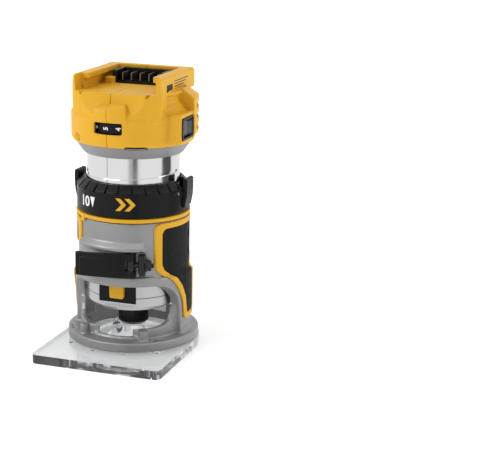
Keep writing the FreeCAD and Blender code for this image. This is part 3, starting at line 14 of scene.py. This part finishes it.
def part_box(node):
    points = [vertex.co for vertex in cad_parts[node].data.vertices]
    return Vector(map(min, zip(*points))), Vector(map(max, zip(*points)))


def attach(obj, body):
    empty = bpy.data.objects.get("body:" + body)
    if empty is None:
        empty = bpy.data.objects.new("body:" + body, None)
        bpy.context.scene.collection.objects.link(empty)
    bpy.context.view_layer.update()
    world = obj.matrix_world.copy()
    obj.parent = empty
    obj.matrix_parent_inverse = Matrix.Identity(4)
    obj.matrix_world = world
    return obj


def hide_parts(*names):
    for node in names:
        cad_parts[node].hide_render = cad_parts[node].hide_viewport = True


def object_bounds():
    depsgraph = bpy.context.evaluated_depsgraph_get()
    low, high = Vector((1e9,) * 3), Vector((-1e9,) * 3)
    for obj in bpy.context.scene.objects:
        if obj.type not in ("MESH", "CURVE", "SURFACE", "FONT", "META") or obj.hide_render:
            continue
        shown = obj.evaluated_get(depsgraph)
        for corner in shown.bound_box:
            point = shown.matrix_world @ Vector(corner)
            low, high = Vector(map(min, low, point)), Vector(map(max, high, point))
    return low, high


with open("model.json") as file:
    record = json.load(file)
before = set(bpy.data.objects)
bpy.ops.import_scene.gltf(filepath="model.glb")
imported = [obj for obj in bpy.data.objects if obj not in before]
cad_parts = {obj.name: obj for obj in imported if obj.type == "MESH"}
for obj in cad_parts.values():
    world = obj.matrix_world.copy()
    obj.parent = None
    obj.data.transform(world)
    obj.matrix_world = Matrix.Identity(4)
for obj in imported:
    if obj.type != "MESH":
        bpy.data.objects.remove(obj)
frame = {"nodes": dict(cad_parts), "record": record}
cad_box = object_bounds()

MM = 0.001
NODES = frame["nodes"]
SLOT_OF = {part["node"]: part["material_slot"] for part in frame["record"]["subparts"]}
LOW, HIGH = (Vector(corner) for corner in cad_box)
HEIGHT = HIGH.z - LOW.z
NOWHERE = -1.0    # a height that no piece reaches
# softening at the edges of the rocker's painted reflection patch
SHEEN_PATCH_BLUR = 0.3 * MM


def size_of(node):
    low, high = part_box(node)
    return Vector(low), Vector(high)


def around(bearing, radius, height):
    """The point at a bearing (degrees), radius and height (metres)."""
    angle = math.radians(bearing)
    return Vector((radius * math.sin(angle), -radius * math.cos(angle), height))


# ---------------------------------------------------------------- materials
def is_socket(value):
    return hasattr(value, "is_output")


def tint(colour, factor):
    return tuple(min(1.0, channel * factor) for channel in colour)


class Shader:
    """A node material under construction. Noise scales are waves per metre."""

    def __init__(self, name):
        self.material = bpy.data.materials.new(name)
        self.material.use_nodes = True
        self.tree = self.material.node_tree
        self.surface = self.tree.nodes["Principled BSDF"]
        self.place = self.tree.nodes.new("ShaderNodeTexCoord").outputs["Object"]

    def add(self, kind, **values):
        node = self.tree.nodes.new("ShaderNode" + kind)
        for key, value in values.items():
            setattr(node, key, value)
        return node

    def link(self, source, target):
        self.tree.links.new(source, target)

    def set(self, **values):
        """Give the surface its colour, roughness and the rest: each a number, a colour or a socket."""
        for key, value in values.items():
            socket = self.surface.inputs[key.replace("_", " ")]
            if is_socket(value):
                self.link(value, socket)
            else:
                socket.default_value = value

    def math(self, operation, *values):
        node = self.add("Math", operation=operation)
        for socket, value in zip(node.inputs, values):
            if is_socket(value):
                self.link(value, socket)
            else:
                socket.default_value = value
        return node.outputs["Value"]

    def axis(self, source, name):
        node = self.add("SeparateXYZ")
        self.link(source, node.inputs["Vector"])
        return node.outputs[name]

    def noise(self, scale, detail=2.0, roughness=0.5, stretch=(1, 1, 1)):
        mapping = self.add("Mapping")
        mapping.inputs["Scale"].default_value = stretch
        self.link(self.place, mapping.inputs["Vector"])
        noise = self.add("TexNoise")
        noise.inputs["Scale"].default_value = scale
        noise.inputs["Detail"].default_value = detail
        noise.inputs["Roughness"].default_value = roughness
        self.link(mapping.outputs["Vector"], noise.inputs["Vector"])
        return noise.outputs["Fac"]

    def spread(self, source, low, high, start=0.3, end=0.7):
        """Map a field that runs from start to end onto low to high."""
        node = self.add("MapRange")
        for key, value in (("From Min", start), ("From Max", end), ("To Min", low), ("To Max", high)):
            node.inputs[key].default_value = value
        self.link(source, node.inputs["Value"])
        return node.outputs["Result"]

    def blend(self, factor, first, second):
        node = self.add("Mix", data_type="RGBA")
        for key, value in (("A", first), ("B", second)):
            socket = [s for s in node.inputs if s.name == key and s.type == "RGBA"][0]
            if is_socket(value):
                self.link(value, socket)
            else:
                socket.default_value = (*value, 1)
        self.link(factor, [s for s in node.inputs if s.name == "Factor" and s.type == "VALUE"][0])
        return [s for s in node.outputs if s.type == "RGBA"][0]

    def shade(self, field, colour, darkest, lightest):
        """One colour, darkened and lightened by a field."""
        return self.blend(field, tint(colour, darkest), tint(colour, lightest))

    def bump(self, height, strength, distance, under=None):
        node = self.add("Bump")
        node.inputs["Strength"].default_value = strength
        node.inputs["Distance"].default_value = distance
        self.link(height, node.inputs["Height"])
        if under is not None:
            self.link(under, node.inputs["Normal"])
        self.link(node.outputs["Normal"], self.surface.inputs["Normal"])
        return node.outputs["Normal"]


def moulded(name, colour, roughness, grain_depth=0.03 * MM, shine=0.5):
    """Moulded plastic: faint colour drift, spark-eroded grain, uneven gloss."""
    shader = Shader(name)
    drift = shader.noise(45.0, detail=3.0)
    gloss = shader.noise(160.0, detail=4.0)
    shader.set(Base_Color=shader.shade(drift, colour, 0.94, 1.06),
               Roughness=shader.spread(gloss, roughness - 0.05, roughness + 0.06),
               IOR=1.5, Specular_IOR_Level=shine)
    shader.bump(shader.noise(1800.0), strength=0.35, distance=grain_depth)
    return shader.material


def cast_metal(name, colour, metallic=0.55, roughness=0.42):
    """Blasted and lacquered light alloy: mottled, with a fine pebbled skin over slow waves."""
    shader = Shader(name)
    mottle = shader.noise(70.0, detail=5.0, roughness=0.6)
    gloss = shader.noise(300.0, detail=3.0)
    shader.set(Base_Color=shader.shade(mottle, colour, 0.93, 1.06),
               Roughness=shader.spread(gloss, roughness - 0.05, roughness + 0.07),
               Metallic=metallic)
    skin = shader.bump(shader.noise(1500.0, detail=3.0), strength=0.4, distance=0.05 * MM)
    shader.bump(shader.noise(120.0), strength=0.12, distance=0.2 * MM, under=skin)
    return shader.material


def turned_metal(name, colour, dull_below=NOWHERE, seam=NOWHERE):
    """Bright turned alloy: fine rings and faint smears; duller below one height, with a painted shadow line
    in the gap at a seam.
    """
    shader = Shader(name)
    height = shader.axis(shader.place, "Z")
    dull = shader.spread(height, 1.0, 0.0, start=dull_below, end=dull_below + 1.5 * MM)
    rings = shader.noise(9000.0, roughness=0.7, stretch=(0.002, 0.002, 1.0))
    bright = shader.shade(rings, colour, 0.95, 1.03)
    matt = shader.shade(rings, colour, 0.62, 0.78)
    # A painted shadow line: the colour darkens to a sixth near the seam height, where the joint's gap holds
    # shade.
    from_seam = shader.math("ABSOLUTE", shader.math("SUBTRACT", height, seam))
    clear_of_gap_shadow = shader.spread(from_seam, 0.0, 1.0, start=0.15 * MM, end=0.6 * MM)
    smear = shader.spread(shader.noise(60.0, detail=4.0), 0.12, 0.23)
    shader.set(Base_Color=shader.blend(clear_of_gap_shadow, tint(colour, 0.16), shader.blend(dull, bright, matt)),
               Roughness=shader.math("MULTIPLY_ADD", dull, 0.14, smear),
               Metallic=1.0)
    shader.bump(rings, strength=0.25, distance=0.01 * MM)
    return shader.material


def plain_metal(name, colour, roughness=0.3, metallic=1.0):
    """Plated or blackened steel: slight clouding and fine scratches."""
    shader = Shader(name)
    cloud = shader.noise(400.0, detail=4.0)
    scratches = shader.noise(1200.0, detail=5.0, roughness=0.7, stretch=(1.0, 0.15, 1.0))
    shader.set(Base_Color=shader.shade(cloud, colour, 0.85, 1.1),
               Roughness=shader.spread(scratches, roughness - 0.08, roughness + 0.1),
               Metallic=metallic)
    shader.bump(scratches, strength=0.15, distance=0.02 * MM)
    return shader.material


def rubber(name, colour):
    """Overmoulded rubber: matt, with a leathery grain."""
    shader = Shader(name)
    cells = shader.add("TexVoronoi", feature="SMOOTH_F1")
    cells.inputs["Scale"].default_value = 1100.0
    shader.link(shader.place, cells.inputs["Vector"])
    shader.set(Base_Color=shader.shade(shader.noise(90.0, detail=4.0), colour, 0.8, 1.3),
               Roughness=shader.spread(shader.noise(220.0, detail=3.0), 0.58, 0.74),
               Specular_IOR_Level=0.16)
    shader.bump(cells.outputs["Distance"], strength=0.5, distance=0.08 * MM)
    return shader.material


def clear_plastic(name):
    """Clear polycarbonate: faint grey flow marks, and upright edges painted darker in streaks, a painted
    reflection of the dark parts around them.
    """
    shader = Shader(name)
    haze = shader.noise(240.0, detail=5.0, roughness=0.6)
    clear = shader.blend(haze, (0.77, 0.78, 0.785), (0.85, 0.855, 0.86))
    streaks = shader.spread(shader.noise(130.0, stretch=(1.0, 1.0, 0.02)), 0.0, 1.0, start=0.4, end=0.6)
    painted_edge_shade = shader.blend(streaks, (0.40, 0.41, 0.43), (0.82, 0.83, 0.84))
    # Upright faces take the darker streaked colour: painted shade for what the plate's edges reflect.
    facing = shader.axis(shader.add("TexCoord").outputs["Normal"], "Z")
    upright = shader.spread(shader.math("ABSOLUTE", facing), 1.0, 0.0, start=0.2, end=0.6)
    shader.set(Base_Color=shader.blend(upright, clear, painted_edge_shade),
               Roughness=shader.spread(haze, 0.02, 0.07),
               Transmission_Weight=0.96, IOR=1.47)
    shader.bump(shader.noise(35.0, detail=3.0), strength=0.06, distance=0.4 * MM)
    return shader.material


def rocker_plastic(name):
    """Glossy black, its rear half painted a lighter grey-green: a painted reflection of the light that
    tilted half catches.
    """
    shader = Shader(name)
    low, high = size_of("power_rocker")
    rim = 1.2 * MM
    spans = {"Y": (low.y + 0.42 * (high.y - low.y), high.y - 1.6 * MM), "Z": (low.z + rim, high.z - rim)}
    # lens: the mask of the painted reflection on the rocker's rear half, softened at its edges
    lens = None
    for axis, (start, end) in spans.items():
        place = shader.axis(shader.place, axis)
        past_start = shader.spread(place, 0.0, 1.0, start=start, end=start + SHEEN_PATCH_BLUR)
        before_end = shader.spread(place, 1.0, 0.0, start=end - SHEEN_PATCH_BLUR, end=end)
        band = shader.math("MULTIPLY", past_start, before_end)
        lens = band if lens is None else shader.math("MULTIPLY", lens, band)
    cloud = shader.blend(shader.noise(300.0, detail=3.0), (0.045, 0.062, 0.058), (0.065, 0.085, 0.08))
    # Painted reflection: lighter grey-green inside the mask, black outside it.
    shader.set(Base_Color=shader.blend(lens, (0.006, 0.006, 0.0065), cloud),
               Roughness=shader.spread(shader.noise(160.0, detail=4.0), 0.14, 0.24),
               Specular_IOR_Level=0.3)
    return shader.material


def lamp_plastic(name):
    """A milky lens with a fine frosting."""
    shader = Shader(name)
    shader.set(Base_Color=shader.blend(shader.noise(500.0), (0.85, 0.85, 0.82), (0.95, 0.95, 0.92)),
               Roughness=0.25, Transmission_Weight=0.3, IOR=1.5)
    shader.bump(shader.noise(900.0), strength=0.2, distance=0.05 * MM)
    return shader.material


ALLOY = (0.74, 0.74, 0.745)
FINISHES = {
    "clear_plastic": clear_plastic("clear_plastic_look"),
    "steel": plain_metal("steel_look", (0.60, 0.61, 0.63), 0.28),
    "cast_grey": cast_metal("cast_grey_look", (0.285, 0.285, 0.288)),
    "bright_aluminium": turned_metal("bright_aluminium_look", ALLOY),
    "yellow_plastic": moulded("yellow_plastic_look", (0.70, 0.375, 0.020), 0.42, shine=0.2),
    "black_plastic": moulded("black_plastic_look", (0.0065, 0.0065, 0.007), 0.32, shine=0.15),
    "black_rubber": rubber("black_rubber_look", (0.0065, 0.0065, 0.007)),
    "black_steel": plain_metal("black_steel_look", (0.022, 0.022, 0.024), 0.38, 0.6),
    "copper": plain_metal("copper_look", (0.55, 0.22, 0.08), 0.35),
    "board_green": moulded("board_green_look", (0.02, 0.12, 0.05), 0.35),
    "switch_gloss": rocker_plastic("power_rocker_look"),
    "lamp": lamp_plastic("lamp_look"),
}
MARK_WHITE = moulded("mark_white_look", (0.80, 0.80, 0.80), 0.5, grain_depth=0.01 * MM)

# The nose below the base's barrel is duller than the turned tube above it, and the gap at its joint gets a
# painted shadow line.
NOSE_SEAM = size_of("motor_housing")[0].z
NODE_FINISHES = {name: turned_metal(name + "_look", ALLOY, dull_below=57 * MM, seam=NOSE_SEAM)
                 for name in ("nose_casting", "motor_housing")}
NODE_FINISHES["terminal_blades"] = plain_metal("terminal_blades_look", (0.20, 0.18, 0.15), 0.34)

for name, node in NODES.items():
    for holder in node.material_slots:
        holder.material = NODE_FINISHES.get(name, FINISHES[SLOT_OF[name]])


# ---------------------------------------------------------------- pieces
def new_piece(name, mesh, finish, body, *replaced):
    """A visible piece that rides on a body; a finish that isn't a material slot is the marks' white."""
    piece = bpy.data.objects.new(name, mesh)
    bpy.context.scene.collection.objects.link(piece)
    mesh.materials.clear()
    mesh.materials.append(FINISHES.get(finish, MARK_WHITE))
    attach(piece, body)
    if replaced:
        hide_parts(*replaced)
    return piece


def apply_modifiers(mesh, *steps):
    """Run (type, settings) modifiers over a mesh and give the result."""
    holder = bpy.data.objects.new("workpiece", mesh)
    bpy.context.scene.collection.objects.link(holder)
    for i, (kind, settings) in enumerate(steps):
        modifier = holder.modifiers.new("step%d" % i, kind)
        for key, value in settings.items():
            setattr(modifier, key, value)
    graph = bpy.context.evaluated_depsgraph_get()
    result = bpy.data.meshes.new_from_object(holder.evaluated_get(graph))
    bpy.data.objects.remove(holder)
    return result


def body_of_node(node):
    for body, names in frame["record"]["behaviour"]["bodies"].items():
        if node in names:
            return body


def soften_node(node, voxel, rounds):
    """A moulded copy of a CAD node: the same shape with its edges run out into small radii."""
    mesh = apply_modifiers(NODES[node].data.copy(),
                           ("WELD", {"merge_threshold": 0.01 * MM}),
                           ("REMESH", {"mode": "VOXEL", "voxel_size": voxel, "use_smooth_shade": True}),
                           ("SMOOTH", {"factor": 0.5, "iterations": rounds}))
    mesh.name = node + "_moulded"
    for polygon in mesh.polygons:
        polygon.use_smooth = True
    return new_piece(node + "_moulded", mesh, SLOT_OF[node], body_of_node(node), node)


def dent(piece, centre, reach, depth, tall):
    """Press an oval hollow into a finished mesh, tall times as high as it is wide."""
    inward = -Vector((centre.x, centre.y, 0)).normalized()
    for vertex in piece.data.vertices:
        away = vertex.co - centre
        away.z /= tall
        share = away.length / reach
        if share < 1:
            vertex.co += inward * depth * (1 - share * share) ** 1.5


# Voxel size and rounds of smoothing for each node that is shown as a moulded copy.
SOFT_NODES = {
    "cap_right": (0.5 * MM, 6), "cap_left": (0.5 * MM, 6), "base_casting": (0.55 * MM, 6),
    "clamp_lever": (0.35 * MM, 5), "adjusting_ring": (0.4 * MM, 4), "release_tab_right": (0.25 * MM, 5),
    "release_tab_left": (0.25 * MM, 5), "grip_right": (0.4 * MM, 6), "grip_left": (0.4 * MM, 6),
    "grip_trim_right": (0.35 * MM, 6), "grip_trim_left": (0.35 * MM, 6), "base_collar": (0.3 * MM, 4),
}
moulded_pieces = {node: soften_node(node, voxel, rounds) for node, (voxel, rounds) in SOFT_NODES.items()}

# Oval hollows in each rubber pad: bearing from the front and height, both measured on the right side.
GRIP_HOLLOWS = ((98, 88), (98, 74), (97, 57))
GRIP_FACE_R = 42.1
for side, sign in (("right", 1), ("left", -1)):
    for bearing, height in GRIP_HOLLOWS:
        centre = around(sign * bearing, GRIP_FACE_R * MM, height * MM)
        dent(moulded_pieces["grip_" + side], centre, reach=2.8 * MM, depth=1.2 * MM, tall=1.7)


# ---------------------------------------------------------------- printed marks
MARK_T = 0.12 * MM       # thickness
MARK_SUNK = 0.02 * MM    # how far a mark sits into its surface
BEND_STEP = 0.5 * MM     # facets of a mark that is bent round a cylinder
FONT_SIZE_TO_FIGURE = 1.4


def outline_mesh(loops):
    """A thin flat plate with the given outlines, drawn in x and y."""
    work = bmesh.new()
    for loop in loops:
        face = work.faces.new([work.verts.new((x * MM, y * MM, 0)) for x, y in loop])
        rim = bmesh.ops.extrude_face_region(work, geom=[face])["geom"]
        for vertex in rim:
            if isinstance(vertex, bmesh.types.BMVert):
                vertex.co.z += MARK_T
    bmesh.ops.recalc_face_normals(work, faces=work.faces)
    return work


def figure_mesh(text, height, turned=False):
    """The same plate in the shape of a figure, centred, and laid on its side where turned."""
    curve = bpy.data.curves.new("figure", "FONT")
    curve.body = text
    curve.size = height * FONT_SIZE_TO_FIGURE * MM
    curve.extrude = MARK_T / 2
    curve.offset = 0.034 * height * MM    # bolder strokes
    curve.align_x = "CENTER"
    curve.resolution_u = 4
    holder = bpy.data.objects.new("figure", curve)
    bpy.context.scene.collection.objects.link(holder)
    mesh = bpy.data.meshes.new_from_object(holder.evaluated_get(bpy.context.evaluated_depsgraph_get()))
    bpy.data.objects.remove(holder)
    work = bmesh.new()
    work.from_mesh(mesh)
    bmesh.ops.translate(work, vec=(0, -height * MM / 2, MARK_T / 2), verts=work.verts)
    if turned:
        bmesh.ops.rotate(work, matrix=Matrix.Rotation(math.pi / 2, 3, "Z"), verts=work.verts)
    return work


def wrap(work, radius, bearing, height, centre=Vector((0, 0, 0))):
    """Bend a flat plate round an upright cylinder."""
    steps = int(max(abs(vertex.co.x) for vertex in work.verts) / BEND_STEP)
    for i in range(-steps, steps + 1):
        bmesh.ops.bisect_plane(work, geom=work.verts[:] + work.edges[:] + work.faces[:],
                               plane_co=(i * BEND_STEP, 0, 0), plane_no=(1, 0, 0))
    for vertex in work.verts:
        x, y, z = vertex.co
        vertex.co = centre + around(bearing + math.degrees(x / radius), radius + z, height + y)
    return work


def marks(name, finish, body, works):
    """Join plates into one printed piece."""
    mesh = bpy.data.meshes.new(name)
    whole = bmesh.new()
    for work in works:
        part = bpy.data.meshes.new("part")
        work.to_mesh(part)
        whole.from_mesh(part)
        bpy.data.meshes.remove(part)
        work.free()
    whole.to_mesh(mesh)
    whole.free()
    return new_piece(name, mesh, finish, body)


def bar(x0, x1, y0, y1):
    return [(x0, y0), (x1, y0), (x1, y1), (x0, y1)]


# The marks on the ring, in millimetres and degrees; each stands twice, on opposite sides.
RING_R = 42.0
RING_MARK_LINE = 9.6
RING_FIGURE_TALL, RING_FIGURE_BEARING = 7.6, -34.0
INDEX, INDEX_BEARING = [(-2.4, 3.8), (0, -3.8), (2.4, 3.8)], -22.5
CHEVRON = [(-4.2, -4.6), (0.2, 0), (-4.2, 4.6), (-0.6, 4.6), (3.8, 0), (-0.6, -4.6)]
CHEVRON_SHIFTS, CHEVRON_RISE, CHEVRON_BEARING = (-4.4, 2.4), 0.6, 16.0
OPPOSITE = (0, 180)


def mark_ring():
    """A figure, an index triangle and a double chevron."""
    radius = RING_R * MM - MARK_SUNK
    middle = size_of("adjusting_ring")[0].z + RING_MARK_LINE * MM
    arrow_middle = middle + CHEVRON_RISE * MM
    chevrons = [[(x + shift, y) for x, y in CHEVRON] for shift in CHEVRON_SHIFTS]
    figures, arrows = [], []
    for turn in OPPOSITE:
        figures.append(wrap(figure_mesh("10", RING_FIGURE_TALL), radius, RING_FIGURE_BEARING + turn, middle))
        figures.append(wrap(outline_mesh([INDEX]), radius, INDEX_BEARING + turn, middle))
        arrows.append(wrap(outline_mesh(chevrons), radius, CHEVRON_BEARING + turn, arrow_middle))
    marks("ring_figures", "", "depth_ring", figures)
    marks("ring_arrows", "yellow_plastic", "depth_ring", arrows)


# The dial's figures lie on their sides; the one at rest stands at the dial's bearing.
DIAL_COUNTS, DIAL_AT_REST = range(1, 10), 5
DIAL_FIGURE_TALL, DIAL_STEP, DIAL_BEARING = 3.7, 29.0, -10.0


def mark_dial():
    low, high = size_of("speed_dial")
    centre = Vector(((low.x + high.x) / 2, (low.y + high.y) / 2, 0))
    radius = (high.x - low.x) / 2 - MARK_SUNK
    middle = (low.z + high.z) / 2
    figures = [wrap(figure_mesh(str(count), DIAL_FIGURE_TALL, turned=True), radius,
                    DIAL_BEARING + DIAL_STEP * (DIAL_AT_REST - count), middle, centre)
               for count in DIAL_COUNTS]
    marks("dial_figures", "", "dial", figures)


# The blank block and lines on the right rail's outer face: spans of y and z in millimetres.
RAIL_SIDE_X, RAIL_MARK_SUNK = 34.0, 0.1
RAIL_BLOCK = (-22.0, -9.0, 196.4, 201.6)
RAIL_LINE_COUNT, RAIL_LINE_PITCH, RAIL_LINE_SHORTER = 4, 1.9, 4.0
RAIL_LINE = (-5.0, 22.0, 202.4, 203.1)


def mark_rail():
    loops = [bar(*RAIL_BLOCK)]
    for row in range(RAIL_LINE_COUNT):
        start, end, low, high = RAIL_LINE
        drop = RAIL_LINE_PITCH * row
        loops.append(bar(start, end - RAIL_LINE_SHORTER * row, low - drop, high - drop))
    work = outline_mesh(loops)
    for vertex in work.verts:
        y, z, raised = vertex.co
        vertex.co = Vector(((RAIL_SIDE_X - RAIL_MARK_SUNK) * MM + raised, y, z))
    marks("rail_bars", "black_plastic", "motor", [work])


mark_ring()
mark_dial()
mark_rail()


# ---------------------------------------------------------------- stage, lights and camera
def stage_plane(name, centre, width, height, facing, finish):
    mesh = bpy.data.meshes.new(name)
    corners = [(x * width / 2, y * height / 2, 0) for x, y in ((-1, -1), (1, -1), (1, 1), (-1, 1))]
    mesh.from_pydata(corners, [], [(0, 1, 2, 3)])
    mesh.materials.append(finish)
    plane = bpy.data.objects.new(name, mesh)
    plane.location = centre
    plane.rotation_mode = "QUATERNION"
    plane.rotation_quaternion = Vector(facing).to_track_quat("Z", "Y")
    bpy.context.scene.collection.objects.link(plane)
    return plane


def softbox(name, position, width, height, power):
    """A rectangular light turned towards the object's middle."""
    light = bpy.data.lights.new(name, "AREA")
    light.shape = "RECTANGLE"
    light.size = width
    light.size_y = height
    light.energy = power
    holder = bpy.data.objects.new(name, light)
    holder.location = position
    holder.rotation_mode = "QUATERNION"
    holder.rotation_quaternion = (AIM - position).to_track_quat("-Z", "Y")
    bpy.context.scene.collection.objects.link(holder)
    return holder


def set_world():
    """Even studio light, brighter where it is mirrored, and plain white behind the object."""
    world = bpy.data.worlds.new("studio")
    world.use_nodes = True
    bpy.context.scene.world = world
    tree = world.node_tree
    light = tree.nodes["Background"]
    path = tree.nodes.new("ShaderNodeLightPath")
    layers = [("Is Glossy Ray", MIRRORED_LIGHT), ("Is Camera Ray", 1.0)]
    light.inputs["Color"].default_value = (1, 1, 1, 1)
    light.inputs["Strength"].default_value = WORLD_LIGHT
    shader = light.outputs["Background"]
    for kind, strength in layers:
        other = tree.nodes.new("ShaderNodeBackground")
        other.inputs["Color"].default_value = (1, 1, 1, 1)
        other.inputs["Strength"].default_value = strength
        mix = tree.nodes.new("ShaderNodeMixShader")
        tree.links.new(path.outputs[kind], mix.inputs["Fac"])
        tree.links.new(shader, mix.inputs[1])
        tree.links.new(other.outputs["Background"], mix.inputs[2])
        shader = mix.outputs["Shader"]
    tree.links.new(shader, tree.nodes["World Output"].inputs["Surface"])


MIRRORED_LIGHT = 1.0
WORLD_LIGHT = 0.36
AIM = Vector((0, 0, 0.438 * HEIGHT))
VIEW_BEARING, VIEW_RISE, VIEW_DISTANCE = 22.5, math.radians(14.6), 5.067 * HEIGHT
ASIDE = math.radians(4.77)
LENS, SENSOR = 100.4, 36.0


def set_camera():
    """Look at the object's middle, then turn aside so that it stands left in the picture, upright."""
    data = bpy.data.cameras.new("view")
    data.lens = LENS
    data.sensor_width = SENSOR
    camera = bpy.data.objects.new("view", data)
    flat = around(VIEW_BEARING, VIEW_DISTANCE * math.cos(VIEW_RISE), VIEW_DISTANCE * math.sin(VIEW_RISE))
    camera.location = AIM + flat
    camera.rotation_mode = "QUATERNION"
    camera.rotation_quaternion = (-flat).to_track_quat("-Z", "Y") @ Quaternion((0, 1, 0), -ASIDE)
    bpy.context.scene.collection.objects.link(camera)
    bpy.context.scene.camera = camera


CARD_FOOT = -0.02


def dark_card(name, bearing, half_width, distance, top, grey):
    """A card that only shows in reflections, as a dark band on the bright tube; its width is in degrees."""
    shader = Shader(name + "_look")
    shader.set(Base_Color=shader.shade(shader.noise(5.0), (grey, grey, grey), 0.9, 1.1), Roughness=0.9)
    centre = around(bearing, distance, (CARD_FOOT + top) / 2)
    width = 2 * distance * math.tan(math.radians(half_width))
    card = stage_plane(name, centre, width, top - CARD_FOOT, -around(bearing, 1.0, 0.0), shader.material)
    card.visible_camera = False
    card.visible_diffuse = False
    card.visible_shadow = False
    card.visible_transmission = False


FLOOR_SIZE, FLOOR_DROP = 6.0, 0.02 * MM


def lay_floor():
    """A plain pale floor that glows more with distance, so that it fades into the white behind."""
    shader = Shader("floor_look")
    away = shader.add("VectorMath", operation="LENGTH")
    shader.link(shader.place, away.inputs[0])
    shader.set(Base_Color=shader.blend(shader.noise(3.0), (0.90, 0.90, 0.90), (0.93, 0.93, 0.93)),
               Roughness=0.75, Emission_Color=(1, 1, 1, 1),
               Emission_Strength=shader.spread(away.outputs["Value"], 0.36, 0.9, start=0.2, end=0.7))
    centre = (0, 0, LOW.z - FLOOR_DROP)
    ground = stage_plane("floor", centre, FLOOR_SIZE, FLOOR_SIZE, (0, 0, 1), shader.material)
    ground.visible_glossy = False


def set_stage():
    lay_floor()
    dark_card("card_right", bearing=109.0, half_width=15.0, distance=0.42, top=0.30, grey=0.02)
    dark_card("card_front", bearing=26.0, half_width=6.0, distance=0.40, top=0.25, grey=0.10)
    dark_card("card_beside", bearing=15.0, half_width=4.0, distance=0.41, top=0.25, grey=0.45)
    softbox("key", around(-48, 1.15, 0.95), width=0.9, height=0.9, power=10.5)
    softbox("rim", around(105, 1.0, 0.45), width=0.35, height=1.0, power=4.2)
    softbox("top", Vector((0.05, 0.1, 1.3)), width=0.9, height=0.9, power=4.2)
    set_world()
    bpy.context.scene.view_settings.view_transform = "Standard"


set_camera()
set_stage()
